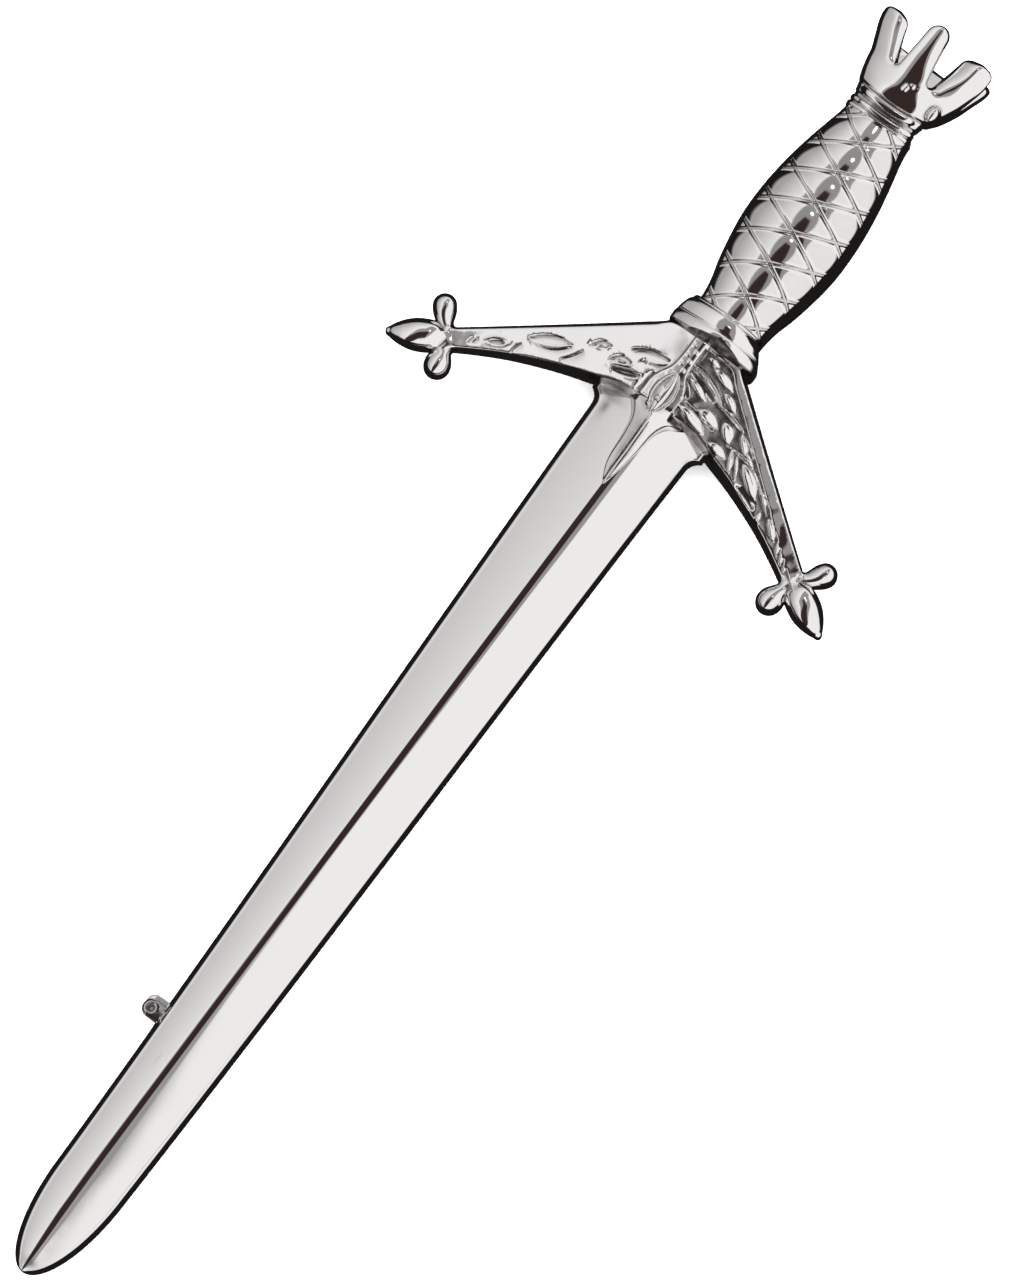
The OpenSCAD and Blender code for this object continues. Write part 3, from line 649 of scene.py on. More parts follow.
def middleRelief(x, y):
    m = middle
    u = (y - m["almondY"]) / m["almondHalfLength"]
    width = np.clip(1 - np.abs(u) ** 2, 0, 1)
    across = (x - m["x"]) / m["almondHalfWidth"] / np.maximum(width, 0.05)
    inside = smoothStep(0, 0.25, width)
    rim = np.exp(-((np.abs(across) - 0.84) / 0.15) ** 2) * inside
    seed = np.sqrt(np.clip(1 - ((across - 0.08) / 0.52) ** 2, 0, 1)) * inside
    slit = np.exp(-((across + 0.10) / 0.13) ** 2) * inside * smoothStep(0.0, 0.5, u)
    relief = 0.20 * rim + 0.15 * seed - 0.14 * slit
    sheath = np.exp(-((np.abs(across) - 1.35) / 0.28) ** 2) * smoothStep(0.0, 0.5, width)
    relief = relief + 0.05 * sheath
    for k in range(m["beads"]):
        far = np.hypot(x - m["x"] - 0.19 * (-1) ** k, y - m["beadsFrom"] - m["beadPitch"] * k)
        relief = np.maximum(relief, 0.9 * np.sqrt(np.clip(m["bead"] ** 2 - far ** 2, 0, None)) - 0.03)
    for sx, sy, size in m["seeds"]:
        ball = np.sqrt(np.clip(size ** 2 - (x - sx) ** 2 - (y - sy) ** 2, 0, None))
        relief = np.maximum(relief, 0.10 + ball)
    return relief


# The tongue down the blade: its keel, its two edges and how far it stands above the blade, each by y
tongue = {
    "from": 62.9, "to": 71.0, "x": -0.5, "half": 2.6, "bottom": 1.0,
    "keel": [(62.9, -0.24), (63.3, -0.27), (66.0, -0.29), (68.4, -0.32), (70.0, -0.53), (72.0, -0.53)],
    "left": [(62.9, -0.30), (63.3, -0.55), (64.2, -0.95), (66.35, -1.22), (67.5, -1.45), (68.0, -1.72),
             (68.4, -2.05), (68.7, -2.4), (69.2, -3.2), (72, -4)],
    "right": [(62.9, -0.20), (63.3, -0.10), (65.0, 0.20), (66.3, 0.40), (67.2, 0.52), (67.8, 0.75),
              (68.2, 1.05), (68.5, 1.5), (69.0, 2.2), (72, 4)],
    "rise": [(62.9, 0.0), (63.5, 0.05), (66.0, 0.14), (67.0, 0.20), (68.0, 0.28), (72.0, 0.30)],
}
tongueLines = [curveThrough(*np.array(tongue[name]).T) for name in ("keel", "left", "right", "rise")]


def tongueTop(x, y):
    keel, left, right, rise = (line(y) for line in tongueLines)
    share = np.where(x < keel, (x - left) / (keel - left), (right - x) / (right - keel))
    flank = rise * np.clip(share, 0, 1) ** 1.3 + 0.07 * smoothStep(-0.02, 0.08, share)
    ridge = (0.17 * np.exp(-((x - keel) / 0.12) ** 4) * smoothStep(63.0, 63.4, y)
             * (1 - smoothStep(67.6, 68.6, y)))
    outside = np.clip(-share, 0, 1) * 0.8
    low = bladeTop(x, np.minimum(y, 66.8)) + flank + ridge - outside - 0.02
    beyond = smoothStep(68.4, 68.9, y) * smoothStep(-0.1, 0.15, np.abs(x - middle["x"]) - middleReach(y))
    joined = smoothStep(65.0, 69.4, y) * smoothStep(-0.02, 0.2, share) * (1 - beyond)
    sink = 0.42 * (1 - np.clip(share, 0, 1)) * (1 - smoothStep(68.6, 69.4, y))
    plate = armFront(np.abs(x - guard["shift"])) - sink
    return low + (plate - low) * joined + middleRelief(x, y) * smoothStep(0.0, 0.15, share)


def lid(top, x, y, z):
    step = 0.01
    here = top(x, y)
    across, along = (top(x + step, y) - here) / step, (top(x, y + step) - here) / step
    return (z - here) / np.sqrt(1 + across ** 2 + along ** 2)


def guardTop(x, y):
    away = np.abs(x - middle["x"]) - middleReach(y)
    return (armFront(np.abs(x - guard["shift"])) + guardRelief(x, y) * smoothStep(-0.08, 0.08, away)
            + middleRelief(x, y) * (1 - smoothStep(-0.1, 0.1, away)))


def guardField(x, y, z):
    g = guard
    across = x - g["shift"]
    side = np.abs(across)
    level = y - g["turn"] * across
    toLow = (armLow(side) - level) / np.interp(side, armSteps, armLean)
    toHigh = (level - armHigh(side)) * 0.79
    sense = g["lean"] * np.clip(across / 3, -1, 1)
    lowLean = g["draftLow"] + 0.8 * sense + 0.10 * (1 - smoothStep(2.6, 4.5, side))
    highLean = g["draftHigh"] - sense
    shape = softMax(softMax(toLow + lowLean * z, toHigh + highLean * z, 0.05), side - g["reach"], 0.1)
    arms = softMax(shape, lid(guardTop, x, y, z), g["edge"])
    t = tongue
    keelShape = np.maximum(np.maximum(t["from"] - y, y - t["to"]), np.abs(x - t["x"]) - t["half"])
    keel = np.maximum(np.maximum(keelShape, lid(tongueTop, x, y, z)), t["bottom"] - z)
    whole = softMin(arms, keel, 0.06)
    whole = softMin(whole, finialField(side, level, z), 0.40)
    return np.maximum(whole, g["back"] - z)


# A finial beyond each arm: two round lobes and an almond, each a low dome on a short wall
finial = {
    "lobes": [
        # from x, y to x, y, radius from, to
        (14.20, 65.30, 15.15, 66.60, 0.52, 0.80),
        (13.60, 64.60, 13.22, 63.08, 0.50, 0.88),
    ],
    "almond": (13.85, 64.90, 17.08, 63.14),
    "almondWidth": [(-0.1, 0.42), (0.0, 0.55), (0.15, 0.92), (0.36, 1.08), (0.56, 1.04), (0.76, 0.82),
                    (0.88, 0.60), (0.95, 0.44), (1.0, 0.30), (1.1, 0.24)],
    "bottom": 0.45, "wallTop": 1.25, "dome": 0.95,
}
almondWidth = curveThrough(*np.array(finial["almondWidth"]).T)


def pebble(flat, radius, z):
    f = finial
    up = np.maximum(z - f["wallTop"], 0) / f["dome"]
    return softMax(np.hypot(flat, up) - radius, f["bottom"] - z, 0.3)


def finialField(x, y, z):
    whole = None
    for x0, y0, x1, y1, r0, r1 in finial["lobes"]:
        dx, dy = x1 - x0, y1 - y0
        t = np.clip(((x - x0) * dx + (y - y0) * dy) / (dx * dx + dy * dy), 0, 1)
        radius = r0 + (r1 - r0) * smoothStep(0.1, 0.9, t)
        part = pebble(np.hypot(x - x0 - t * dx, y - y0 - t * dy), radius, z)
        whole = part if whole is None else softMin(whole, part, 0.1)
    x0, y0, x1, y1 = finial["almond"]
    long = math.hypot(x1 - x0, y1 - y0)
    c, s = (x1 - x0) / long, (y1 - y0) / long
    u = ((x - x0) * c + (y - y0) * s) / long
    v = -(x - x0) * s + (y - y0) * c
    past = np.maximum(np.maximum(-u, u - 1), 0) * long
    part = pebble(np.hypot(v, past), almondWidth(np.clip(u, -0.1, 1.1)), z) * 0.85
    return softMin(whole, part, 0.07)


guardPiece = fieldPiece("guard", (-17.85, 61.7, 0.0), (17.1, 75.4, 4.0), guard["voxel"], guardField, 0.002)


# Painted shade: the corner under the arms, where the blade comes out, is painted dark through the shade and
# grime mask
def shadeUnderArms(place, normal):
    x, y, z = place
    beside = smoothStep(1.6, 2.2, np.abs(x + 0.5)) * (np.abs(x + 0.4) < 4.9)
    return smoothStep(0.25, 0.5, -normal[1]) * beside * (y > 68.0) * (y < 69.8) * (z > 1.2)


# Painted shade and grime in the carved grooves, and painted shade under the arms
markRecessShade(guardPiece, 30, 0.07, shadeUnderArms)
guardPiece.data.materials.append(castChrome)
print("guard made")


# Collar: a ring with straight sides and a domed front, flared towards the guard, with a groove round it
collar = {
    "lift": 0.15, "rows": 120, "columns": 120, "arch": 0.36, "archHalf": 2.0, "broad": 1.5,
    # The last two numbers place the painted shade on the collar's foot, where it meets the guard
    "frontShift": 0.26, "shadeFrom": 74.30, "shadeTo": 74.20,
    "profile": [
        # y, half width, front, share of the arch, x of the middle
        (73.90, 2.90, 3.30, 0.20, 0.02), (74.04, 3.16, 3.42, 0.20, 0.04), (74.22, 3.28, 4.25, 0.9, 0.06),
        (74.34, 3.31, 4.37, 1.0, 0.07), (74.50, 3.31, 4.37, 0.8, 0.07), (74.95, 3.27, 4.28, 0.15, 0.05),
        (75.05, 3.21, 4.23, 0.05, 0.03), (75.13, 3.20, 4.29, 0.0, 0.02), (75.30, 3.12, 4.33, 0.0, -0.02),
        (75.60, 2.98, 4.33, 0.0, -0.08), (75.78, 2.87, 4.305, 0.0, -0.13), (75.94, 2.76, 4.255, 0.0, -0.17),
        (76.10, 2.64, 4.17, 0.0, -0.19), (76.18, 2.60, 4.03, 0.0, -0.18), (76.30, 2.60, 3.99, 0.0, -0.15),
        (76.45, 2.55, 3.85, 0.0, -0.12),
    ],
}


domeTurn = 84.0                                     # degrees, where a domed front meets its walls


# A section with a flat back, straight walls and a broad domed front that turns down sharply at its sides
def domeSection(half, front, columns, broad, bend=39.0):
    turn = np.linspace(domeTurn, -domeTurn, columns)
    size = np.abs(np.radians(turn))
    knee = math.radians(bend)
    wide = half * broad
    tight = (half - wide * math.sin(knee)) / (math.sin(math.radians(domeTurn)) - math.sin(knee))
    flat, sharp = np.minimum(size, knee), np.maximum(size, knee)
    x = wide * np.sin(flat) + tight * (np.sin(sharp) - math.sin(knee))
    drop = wide * (1 - np.cos(flat)) + tight * (math.cos(knee) - np.cos(sharp))
    return -np.sign(turn) * x, front - drop


def makeCollar():
    c = collar
    table = np.array(c["profile"]).T
    halves, fronts, arches, middles = (curveThrough(table[0], row) for row in table[1:])
    levels = np.linspace(table[0][0], table[0][-1], c["rows"])
    points = []
    for level in levels:
        half = float(halves(level))
        x, z = domeSection(half, float(fronts(level)), c["columns"], c["broad"])
        y = level + c["arch"] * float(arches(level)) * np.clip(1 - (x / c["archHalf"]) ** 2, 0, 1)
        foot = c["lift"]
        ring = [(half, level, foot), (-half, level, foot)]
        ring += [(-half, level, foot + (z[0] - foot) * t) for t in (0.3, 0.6, 0.85)]
        ring += list(zip(x, y, z))
        ring += [(half, level, foot + (z[0] - foot) * t) for t in (0.85, 0.6, 0.3)]
        centre = float(middles(level))
        points += [(px + centre + c["frontShift"] * (1 - (px / half) ** 2) * (pz > 2), py, pz)
                   for px, py, pz in ring]
    around = len(points) // c["rows"]
    piece = newMesh("collar", points, [f[::-1] for f in skinFaces(c["rows"], around)])
    # Painted shade: the collar is painted dark below y 74.2, on its foot by the guard
    setShadeAndGrime(piece, smoothStep(c["shadeFrom"], c["shadeTo"], np.repeat(levels, around)))
    return piece


collarPiece = makeCollar()
collarPiece.data.materials.append(castChrome)
print("collar made")


# Grip: a swelling handle under a lattice of double bands with puffed pillows between them
grip = {
    "Length": 16.9, "Start": 76.1, "Half Width": 4.0, "Front": 4.48, "Lift": 0.18, "Middle": 0.08,
    "Broad": 1.38, "Knee": 39.0, "Pitch": 2.49, "First Crossing": 78.07, "Groove Depth": 0.30,
    "Pillow Rise": 0.32, "Pillow Edge": 0.12, "Pillow Bow": 0.036, "Band Rise": 0.04, "Band Half": 0.18,
    "Edge Turn": 43.0,
}
gripOutline = [(0.0, 0.645), (0.045, 0.655), (0.10, 0.69), (0.185, 0.785), (0.28, 0.865), (0.37, 0.92),
               (0.44, 0.937), (0.52, 0.933), (0.61, 0.905), (0.70, 0.855), (0.79, 0.785), (0.88, 0.70),
               (0.94, 0.645), (1.0, 0.62)]
gripColumns, gripRows = 241, 361


def gripTree():
    tree = bpy.data.node_groups.new("latticeGrip", "GeometryNodeTree")
    add, subtract, multiply, divide = sums(tree)
    sockets = {}
    for label, value in grip.items():
        sockets[label] = tree.interface.new_socket(label, in_out="INPUT", socket_type="NodeSocketFloat")
        sockets[label].default_value = value
    metalSocket = tree.interface.new_socket("Metal", in_out="INPUT", socket_type="NodeSocketMaterial")
    tree.interface.new_socket("Grip", in_out="OUTPUT", socket_type="NodeSocketGeometry")
    given = tree.nodes.new("NodeGroupInput")
    g = given.outputs
    sheet = tree.nodes.new("GeometryNodeMeshGrid")
    sheet.inputs["Vertices X"].default_value = gripColumns
    sheet.inputs["Vertices Y"].default_value = gripRows
    cell = tree.nodes.new("ShaderNodeSeparateXYZ")
    uv = tree.nodes.new("GeometryNodeStoreNamedAttribute")
    uv.data_type = "FLOAT_VECTOR"
    uv.domain = "POINT"
    uv.inputs["Name"].default_value = "sheet"
    place = tree.nodes.new("GeometryNodeInputPosition")
    tree.links.new(sheet.outputs["Mesh"], uv.inputs["Geometry"])
    tree.links.new(place.outputs[0], uv.inputs["Value"])
    named = tree.nodes.new("GeometryNodeInputNamedAttribute")
    named.data_type = "FLOAT_VECTOR"
    named.inputs["Name"].default_value = "sheet"
    tree.links.new(named.outputs["Attribute"], cell.inputs[0])
    u = add(cell.outputs["X"], 0.5)
    v = add(cell.outputs["Y"], 0.5)
    # round the section: dome, left wall, back, right wall; the turn is the way the surface faces, in degrees
    turn = mapped(tree, u, 0.0, 0.86, domeTurn, -domeTurn)
    wallDown = mapped(tree, u, 0.86, 0.91)
    back = mapped(tree, u, 0.91, 0.95)
    wallUp = mapped(tree, u, 0.95, 1.0)
    aside = calc(tree, "ABSOLUTE", turn)
    sense = calc(tree, "SIGN", turn)
    flatPart = calc(tree, "RADIANS", calc(tree, "MINIMUM", aside, g["Knee"]))
    sharpPart = calc(tree, "RADIANS", calc(tree, "MAXIMUM", aside, g["Knee"]))
    knee = calc(tree, "RADIANS", g["Knee"])
    swell = tree.nodes.new("ShaderNodeFloatCurve")
    curve = swell.mapping.curves[0]
    while len(curve.points) < len(gripOutline):
        curve.points.new(0.5, 0.5)
    for point, (at, size) in zip(curve.points, gripOutline):
        point.location = (at, size)
    swell.mapping.update()
    tree.links.new(v, swell.inputs["Value"])
    size = swell.outputs[0]
    y = add(g["Start"], multiply(v, g["Length"]))
    # the two sets of bands run over the dome at equal turns, one to the left and one to the right
    along = divide(subtract(y, g["First Crossing"]), g["Pitch"])
    wound = divide(turn, 60.0)
    far = []
    offset = 0.0
    for operation in ("ADD", "SUBTRACT"):
        share = calc(tree, "FRACT", add(calc(tree, operation, along, wound), 20.0))
        offset = add(offset, subtract(share, 0.5))
        far.append(subtract(0.5, calc(tree, "ABSOLUTE", subtract(share, 0.5))))
    puff = multiply(*(calc(tree, "SINE", multiply(one, math.pi)) for one in far))
    pillow = multiply(calc(tree, "POWER", puff, g["Pillow Edge"]), g["Pillow Rise"])
    pillow = subtract(pillow, g["Groove Depth"])
    level = multiply(multiply(offset, g["Pitch"]), 0.5)
    height = subtract(pillow, multiply(multiply(level, level), g["Pillow Bow"]))
    for one in far:
        apart = divide(multiply(one, multiply(g["Pitch"], 0.9)), g["Band Half"])
        bandRound = subtract(1.0, calc(tree, "POWER", calc(tree, "MINIMUM", apart, 1.6), 2.0))
        cleft = mapped(tree, apart, 0.0, 0.35, 0.09, 0.0, smooth=True)
        band = subtract(multiply(bandRound, 0.16), cleft)
        band = add(subtract(band, 0.16), g["Band Rise"])
        joined = tree.nodes.new("ShaderNodeMath")
        joined.operation = "SMOOTH_MAX"
        joined.inputs[2].default_value = 0.03
        tree.links.new(height, joined.inputs[0])
        tree.links.new(band, joined.inputs[1])
        height = joined.outputs[0]
    shown = mapped(tree, aside, add(g["Edge Turn"], 5.0), subtract(g["Edge Turn"], 5.0), smooth=True)
    height = add(multiply(height, shown), multiply(subtract(1.0, shown), -0.10))
    half = multiply(g["Half Width"], size)
    wide = multiply(half, g["Broad"])
    kneeSine, kneeCosine = calc(tree, "SINE", knee), calc(tree, "COSINE", knee)
    tight = divide(subtract(half, multiply(wide, kneeSine)),
                   subtract(math.sin(math.radians(domeTurn)), kneeSine))
    outX = add(multiply(wide, calc(tree, "SINE", flatPart)),
               multiply(tight, subtract(calc(tree, "SINE", sharpPart), kneeSine)))
    drop = add(multiply(wide, subtract(1.0, calc(tree, "COSINE", flatPart))),
               multiply(tight, subtract(kneeCosine, calc(tree, "COSINE", sharpPart))))
    face = calc(tree, "RADIANS", aside)
    outX = add(outX, multiply(height, calc(tree, "SINE", face)))
    outX = multiply(outX, sense)
    front = add(1.1, multiply(subtract(g["Front"], 1.1), add(0.28, multiply(size, 0.77))))
    top = subtract(front, drop)
    outZ = add(top, multiply(height, calc(tree, "COSINE", face)))
    halfBack = subtract(half, 0.10)
    x = add(outX, multiply(multiply(halfBack, 2.0), back))
    standing = add(subtract(1.0, wallDown), wallUp)
    z = multiply(outZ, standing)
    closed = multiply(mapped(tree, v, 0.0, 0.001), mapped(tree, v, 1.0, 0.999))
    x = add(multiply(x, closed), g["Middle"])
    z = add(multiply(subtract(z, 1.5), closed), 1.5)
    where = tree.nodes.new("ShaderNodeCombineXYZ")
    for value, socket in zip((x, y, add(z, g["Lift"])), where.inputs):
        tree.links.new(value, socket)
    shape = tree.nodes.new("GeometryNodeSetPosition")
    tree.links.new(uv.outputs["Geometry"], shape.inputs["Geometry"])
    tree.links.new(where.outputs[0], shape.inputs["Position"])
    sewn = tree.nodes.new("GeometryNodeMergeByDistance")
    sewn.inputs["Distance"].default_value = 0.0005
    tree.links.new(shape.outputs[0], sewn.inputs["Geometry"])
    smooth = tree.nodes.new("GeometryNodeSetShadeSmooth")
    tree.links.new(sewn.outputs[0], smooth.inputs[0])
    real = tree.nodes.new("GeometryNodeRealizeInstances")
    tree.links.new(smooth.outputs[0], real.inputs[0])
    finish = tree.nodes.new("GeometryNodeSetMaterial")
    tree.links.new(real.outputs[0], finish.inputs["Geometry"])
    tree.links.new(g["Metal"], finish.inputs["Material"])
    output = tree.nodes.new("NodeGroupOutput")
    tree.links.new(finish.outputs[0], output.inputs[0])
    return tree, sockets, metalSocket


def bakeNodes(name, tree, values):
    holder = bpy.data.objects.new(name + "Holder", bpy.data.meshes.new(name + "Holder"))
    bpy.context.scene.collection.objects.link(holder)
    modifier = holder.modifiers.new("shape", "NODES")
    modifier.node_group = tree
    for identifier, value in values.items():
        modifier[identifier] = value
    bpy.context.view_layer.update()
    evaluated = holder.evaluated_get(bpy.context.evaluated_depsgraph_get())
    mesh = bpy.data.meshes.new_from_object(evaluated)
    bpy.data.objects.remove(holder)
    mesh.transform(Matrix.Translation(Vector(origin)) @ Matrix.Scale(mm, 4))
    piece = bpy.data.objects.new(name, mesh)
    bpy.context.scene.collection.objects.link(piece)
    return piece


def makeGrip():
    tree, sockets, metalSocket = gripTree()
    values = {sockets[label].identifier: float(value) for label, value in grip.items()}
    values[metalSocket.identifier] = castChrome
    return bakeNodes("grip", tree, values)


gripPiece = makeGrip()
print("grip", len(gripPiece.data.vertices), "points")
# Painted shade and grime in the lattice grooves
markRecessShade(gripPiece, 12, 0.05)
print("grip made")


# Crown: a flared cup with six round-topped prongs, two petals in front and two rings below
crown = {
    "middle": 2.75, "voxel": 0.062, "wall": 0.62, "floor": 95.3, "broad": 1.85, "corner": 0.40,
    "outline": [
        # y, half width, half depth, x of the middle
        (92.0, 2.42, 1.42, 0.05), (93.0, 2.42, 1.44, 0.05), (93.85, 2.54, 1.48, 0.03),
        (94.3, 2.80, 1.64, 0.10), (94.8, 3.07, 1.84, 0.20), (95.5, 3.35, 2.00, 0.31),
        (96.3, 3.61, 2.12, 0.40), (97.1, 3.90, 2.22, 0.38), (98.1, 4.26, 2.32, 0.36),
        (99.0, 4.40, 2.40, 0.34), (100.3, 4.50, 2.45, 0.34),
    ],
    "prongs": [
        # turn, y of the tip, radius at the tip, radius at the foot
        (150, 99.14, 0.76, 1.10), (94.5, 99.78, 0.76, 1.20), (38, 99.34, 0.62, 1.00),
        (-14, 98.72, 0.62, 0.75), (-88, 97.6, 0.62, 0.75), (-155, 98.2, 0.60, 0.70),
    ],
    "frontRim": 96.0, "backRim": 97.75, "draft": 0.26, "slant": 0.62, "slantFrom": 2.45,
    "wedge": [
        # y, left and right x, slope at the left and at the right: the dark hollow down the front
        (92.0, -0.9, 1.9, -3.0, 9.0), (94.3, -0.85, 1.85, -3.5, 9.5), (95.0, -0.45, 1.35, -3.0, 8.5),
        (95.6, -0.25, 1.0, -1.0, 7.0), (96.2, -0.20, 0.85, 0.3, 5.7), (97.0, -0.20, 0.50, 0.3, 5.7),
        (98.0, -0.13, 0.22, 0.3, 5.7), (99.4, -0.06, 0.06, 0.3, 5.7), (100.3, -0.02, 0.02, 0.3, 5.7),
    ],
    "star": [(0.35, 95.25), (0.62, 95.45), (1.12, 95.52), (0.30, 95.0)],
    "rings": [
        # y at the sides, how far it sags in front, outwards, radius
        (93.70, 0.25, 0.12, 0.30), (92.95, 0.22, 0.02, 0.17),
    ],
    "boss": (2.70, 94.85, 1.22, 0.46),
}
crownRows = np.array(crown["outline"]).T
crownWide, crownDeep, crownMiddle = (curveThrough(crownRows[0], row) for row in crownRows[1:])
wedgeRows = np.array(crown["wedge"]).T
wedgeLeft, wedgeRight, slopeLeft, slopeRight = (curveThrough(wedgeRows[0], row) for row in wedgeRows[1:])


# How far the front falls away to both sides of the hollow, against the plain curve
def wedgeRelief(x, y, natural):
    left, right = wedgeLeft(y), wedgeRight(y)
    low, high = np.radians(slopeLeft(y)), np.radians(slopeRight(y))
    wide = right - left
    u = np.clip((x - left) / wide, 0, 1)
    inside = (low * u + 0.5 * (high - low) * u * u) * wide
    past = np.logaddexp(0, (x - right) / 0.03) * 0.03
    before = np.logaddexp(0, (left - x) / 0.09) * 0.09
    fall = inside + (high + 0.12) * past + past ** 2 / 16 + (0.12 - low) * before + before ** 2 / 16
    return (natural - fall) * (1 - smoothStep(1.2, 3.2, np.abs(x - 0.2)))


def crownField(x, y, z):
    c = crown
    wide, deep, middleX = crownWide(y), crownDeep(y), crownMiddle(y)
    across, up = x - middleX, z - c["middle"]
    bend = wide * c["broad"]
    front = np.hypot(across, up + bend - deep) - bend
    back = np.hypot(across, bend - deep - up) - bend
    outside = softMax(softMax(front, back, 0.3), np.abs(across) - wide, c["corner"])
    turn = np.degrees(np.arctan2(up / deep, across / wide))
    facing = smoothStep(0.0, 0.8, up)
    outside = outside - wedgeRelief(x, y, across ** 2 / (2 * bend)) * facing
    for px, py in c["star"]:
        outside = outside - 0.05 * facing * np.exp(-((x - px) ** 2 + (y - py) ** 2) / 0.02)
    slanted = (c["slantFrom"] - c["slant"] * (y - 96.0) - z) * 0.85
    hollow = softMax(softMax(outside + c["wall"], c["floor"] - y, 0.3), slanted, 0.2)
    backward = smoothStep(-0.25, 0.25, -up)
    mask = (y - c["frontRim"] - (c["backRim"] - c["frontRim"]) * backward) * 0.9
    for at, tip, tipRadius, footRadius in c["prongs"]:
        radians = math.radians(at)
        reach = np.hypot((wide - 0.4) * math.sin(radians), (deep - 0.4) * math.cos(radians))
        apart = np.radians((turn - at + 180) % 360 - 180) * reach
        foot, end = 95.0, tip - tipRadius
        t = np.clip((y - foot) / (end - foot), 0, 1)
        finger = np.hypot(apart, y - foot - t * (end - foot)) - footRadius - (tipRadius - footRadius) * t
        mask = softMin(mask, finger, 0.35)
    mask = mask + c["draft"] * np.maximum(outside, -0.8)
    cup = softMax(softMax(outside, -hollow, 0.22), mask, 0.30)
    for at, sag, grow, radius in c["rings"]:
        ringY = at - sag * np.clip(1 - (across / 2.5) ** 2, 0, 1) * facing
        beside = np.exp(-((np.abs(y - ringY) - radius - 0.06) / 0.09) ** 2)
        cup = cup + 0.10 * beside
        sunk = 0.30 * smoothStep(0.62, 1.0, np.abs(across) / wide)
        cup = softMin(cup, np.hypot(outside - grow + sunk + radius * 0.7, y - ringY) - radius, 0.03)
    bx, by, bz, radius = c["boss"]
    boss = np.sqrt((x - bx) ** 2 + ((y - by) / 1.35) ** 2 + (up - bz) ** 2) - radius
    return np.maximum(softMin(cup, boss, 0.08), 92.3 - y)


crownPiece = fieldPiece("crown", (-4.4, 92.1, 0.1), (4.95, 100.1, 5.45), crown["voxel"], crownField)
# Painted shade and grime in the crown's hollows and grooves
markRecessShade(crownPiece, 14, 0.06)
crownPiece.data.materials.append(castChrome)
print("crown made")


# Pegs: two round posts on the blade's and guard's back, headed behind the pin bar
pegs = {
    "places": (24.2, 66.0), "around": 40,
    "profile": [
        # up from the back, radius
        (0.65, 0.0), (0.65, 0.74), (0.60, 0.80), (-0.62, 0.80), (-0.70, 0.86), (-0.71, 1.14), (-0.75, 1.22),
        (-0.82, 1.23), (-0.92, 1.14), (-1.02, 0.94), (-1.08, 0.70), (-1.11, 0.40), (-1.12, 0.0),
    ],
}


def turned(name, profile, around, place):
    points = []
    for along, radius in profile:
        for k in range(around):
            turn = 2 * math.pi * k / around
            wide = max(radius, 0.004)               # ends closed by a tiny face
            points.append(place(along, wide * math.cos(turn), wide * math.sin(turn)))
    return newMesh(name, points, skinFaces(len(profile), around))


pegPieces = [turned(f"peg{k}", pegs["profile"], pegs["around"], lambda along, a, b, y=y: (a, y + b, along))
             for k, y in enumerate(pegs["places"])]
for piece in pegPieces:
    piece.data.materials.append(castChrome)


# Pin bar: a flat strip with round ends, the hinge ears with a rolled wire on a rivet, and the catch housing
pinBar = {
    "voxel": 0.08, "from": 16.0, "to": 73.6, "half": 1.7, "top": -0.05, "thick": 0.6, "axis": -2.6,
    "catch": 18.6, "catchHalf": 1.6, "housing": 1.5, "bore": 1.15, "lip": 0.3, "needleHole": 0.65,
    "neckHalf": 1.02, "openFrom": 155, "openTo": 305, "hinge": 71.5, "ear": 0.6,
    "wire": 0.37, "coils": (-0.74, 0.0, 0.74), "roll": 0.66, "rivet": 0.72, "pegHole": 0.9,
}


def wedgeBetween(x, z, first, last):
    a, b = math.radians(first), math.radians(last)
    return np.maximum(math.sin(a) * x - math.cos(a) * z, math.cos(b) * z - math.sin(b) * x)


def pinBarField(x, y, z):
    b = pinBar
    low, high = b["from"] + b["half"], b["to"] - b["half"]
    flat = np.hypot(x, y - np.clip(y, low, high)) - b["half"]
    strip = softMax(flat, np.abs(z - b["top"] + b["thick"] / 2) - b["thick"] / 2, 0.14)
    for place in pegs["places"]:
        strip = softMax(strip, b["pegHole"] - np.hypot(x, y - place), 0.10)
    height = z - b["axis"]
    fromAxis = np.hypot(x, height)
    catch = y - b["catch"]
    neck = np.maximum(np.abs(x) - b["neckHalf"], np.maximum(1.1 - height, height + b["axis"] + 0.35))
    housing = softMax(softMin(fromAxis - b["housing"], neck, 0.25), np.abs(catch) - b["catchHalf"], 0.12)
    bore = np.minimum(b["bore"] - fromAxis, b["catchHalf"] - b["lip"] - np.abs(catch))
    housing = softMax(housing, bore, 0.06)
    housing = softMax(softMax(housing, b["needleHole"] - fromAxis, 0.06),
                      -wedgeBetween(x, height, b["openFrom"], b["openTo"]), 0.10)
    along = y - b["hinge"]
    turn = np.hypot(along, height)
    web = np.maximum(np.abs(along) - b["housing"], np.maximum(-height, height + b["axis"] + 0.35))
    sheets = np.abs(np.abs(x) - b["half"] + b["ear"] / 2) - b["ear"] / 2
    ears = softMax(softMin(turn - b["housing"], web, 0.05), sheets, 0.12)
    roll = 9.0
    for at in b["coils"]:
        roll = np.minimum(roll, np.hypot(turn - b["roll"], x - at) - b["wire"])
    rivet = np.hypot(turn, np.maximum(np.abs(x) - b["half"] + 0.25, 0) * 1.6) - b["rivet"]
    return softMin(softMin(softMin(strip, housing, 0.12), softMin(ears, rivet, 0.04), 0.10), roll, 0.03)


barPiece = fieldPiece("pinBar", (-2.1, 15.8, -4.3), (2.1, 73.9, 0.1), pinBar["voxel"], pinBarField, 0.01)
# Painted shade and grime in the pin bar's recesses
markRecessShade(barPiece, 20, 0.08)
barPiece.data.materials.append(platedSteel)


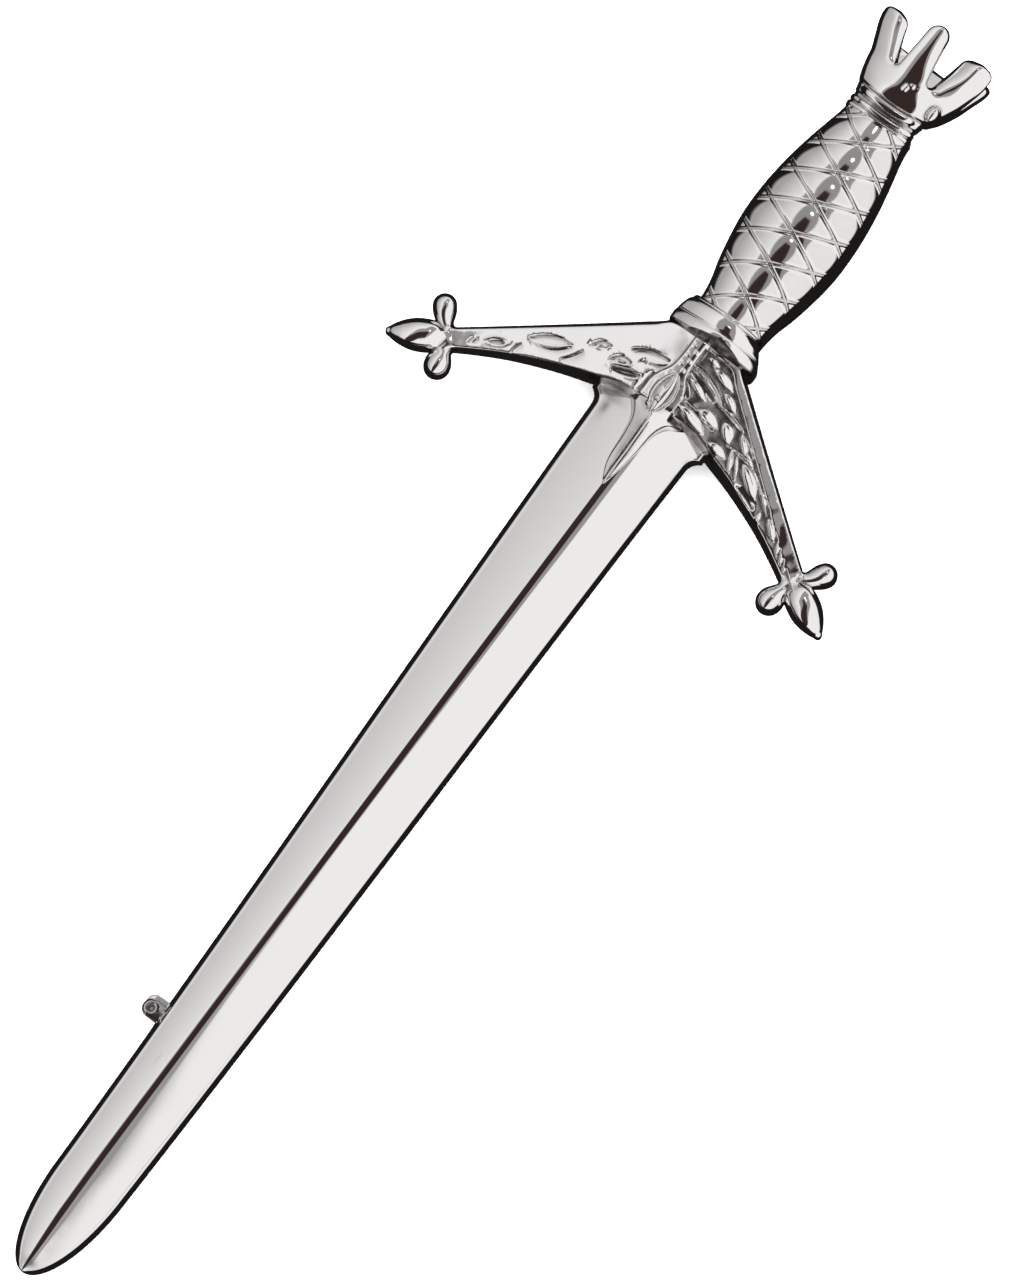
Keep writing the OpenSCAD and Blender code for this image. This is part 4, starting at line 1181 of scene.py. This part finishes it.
# Needle: a round wire drawn to a point in front of the catch
needle = {
    "around": 32, "axis": -2.6,
    "profile": [
        # along the sword, radius
        (16.0, 0.02), (16.03, 0.06), (16.4, 0.12), (17.2, 0.21), (18.4, 0.32), (19.6, 0.41), (20.8, 0.475),
        (22.2, 0.50), (30.0, 0.50), (40.0, 0.50), (50.0, 0.50), (60.0, 0.50), (70.8, 0.50), (71.5, 0.48),
    ],
}
needlePiece = turned("needle", needle["profile"], needle["around"],
                     lambda along, a, b: (-a, along, needle["axis"] + b))
needlePiece.data.materials.append(platedSteel)


# Catch lever: a slotted sleeve in the housing and a folded sheet tab with a raised ring
lever = {
    "voxel": 0.05, "y": 18.6, "axis": -2.6, "sleeve": 1.1, "half": 1.25, "bore": 0.65, "reach": 3.78,
    "tabHalf": 0.6, "thick": 0.32, "front": 0.12, "rear": 0.52, "leafZ": -2.58, "bend": 0.26, "ring": 0.38,
    "ringWire": 0.12, "dimple": 0.24,
}


def leverField(x, y, z):
    v = lever
    height, along = z - v["axis"], y - v["y"]
    fromAxis = np.hypot(x, height)
    whole = softMax(fromAxis - v["sleeve"], np.abs(along) - v["half"], 0.10)
    for offset, low in ((v["front"], v["leafZ"]), (v["rear"], v["leafZ"] - v["thick"])):
        far = np.hypot(x - np.clip(x, -v["reach"], -0.8), along - offset)
        level = z - low - v["thick"] / 2 + v["bend"] * np.minimum(far, 0.7) ** 2
        leaf = softMax(far - v["tabHalf"], np.abs(level) - v["thick"] / 2, 0.10)
        whole = softMin(whole, leaf, 0.03)
    far = np.hypot(x + v["reach"], along - v["front"])
    top = v["leafZ"] + v["thick"]
    whole = softMin(whole, np.hypot(far - v["ring"], z - top) - v["ringWire"], 0.03)
    whole = softMax(whole, v["dimple"] - np.sqrt(far ** 2 + (z - top - 0.06) ** 2), 0.04)
    whole = softMax(whole, v["bore"] - fromAxis, 0.05)
    return softMax(whole, np.minimum(v["bore"] - np.abs(x), height), 0.05)


leverPiece = fieldPiece("catchLever", (-4.65, 17.15, -3.95), (1.25, 20.05, -1.35), lever["voxel"],
                        leverField, 0.001)
# Painted shade and grime in the lever's recesses
markRecessShade(leverPiece, 12, 0.06)
leverPiece.data.materials.append(platedSheet)
print("back parts made")


# Floor, softbox, and which body and node each piece belongs to
floor = bpy.data.objects.new("floor", bpy.data.meshes.new("floor"))
floor.data.from_pydata([(-3, -3, 0), (3, -3, 0), (3, 3, 0), (-3, 3, 0)], [], [(0, 1, 2, 3)])
bpy.context.scene.collection.objects.link(floor)
paper = bpy.data.materials.new("paper")
paper.use_nodes = True
paper.node_tree.nodes["Principled BSDF"].inputs["Base Color"].default_value = (0.9, 0.9, 0.9, 1)
paper.node_tree.nodes["Principled BSDF"].inputs["Roughness"].default_value = 1.0
floor.data.materials.append(paper)
floor.visible_glossy = False

lamp = bpy.data.lights.new("softbox", "AREA")
lamp.shape = "DISK"
lamp.size = 1.2
lamp.energy = 30.0
softbox = bpy.data.objects.new("softbox", lamp)
softbox.location = (0, 0, 0.8)
softbox.visible_glossy = False
bpy.context.scene.collection.objects.link(softbox)

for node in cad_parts.values():
    node.data.materials.clear()
    node.data.materials.append(castChrome)

for piece in [bladePiece, guardPiece, collarPiece, gripPiece, crownPiece] + pegPieces:
    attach(piece, "root")
    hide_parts("sword")
for piece in (barPiece, needlePiece):
    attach(piece, "root")
    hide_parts("pin_bar")
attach(leverPiece, "catch")
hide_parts("catch_lever")
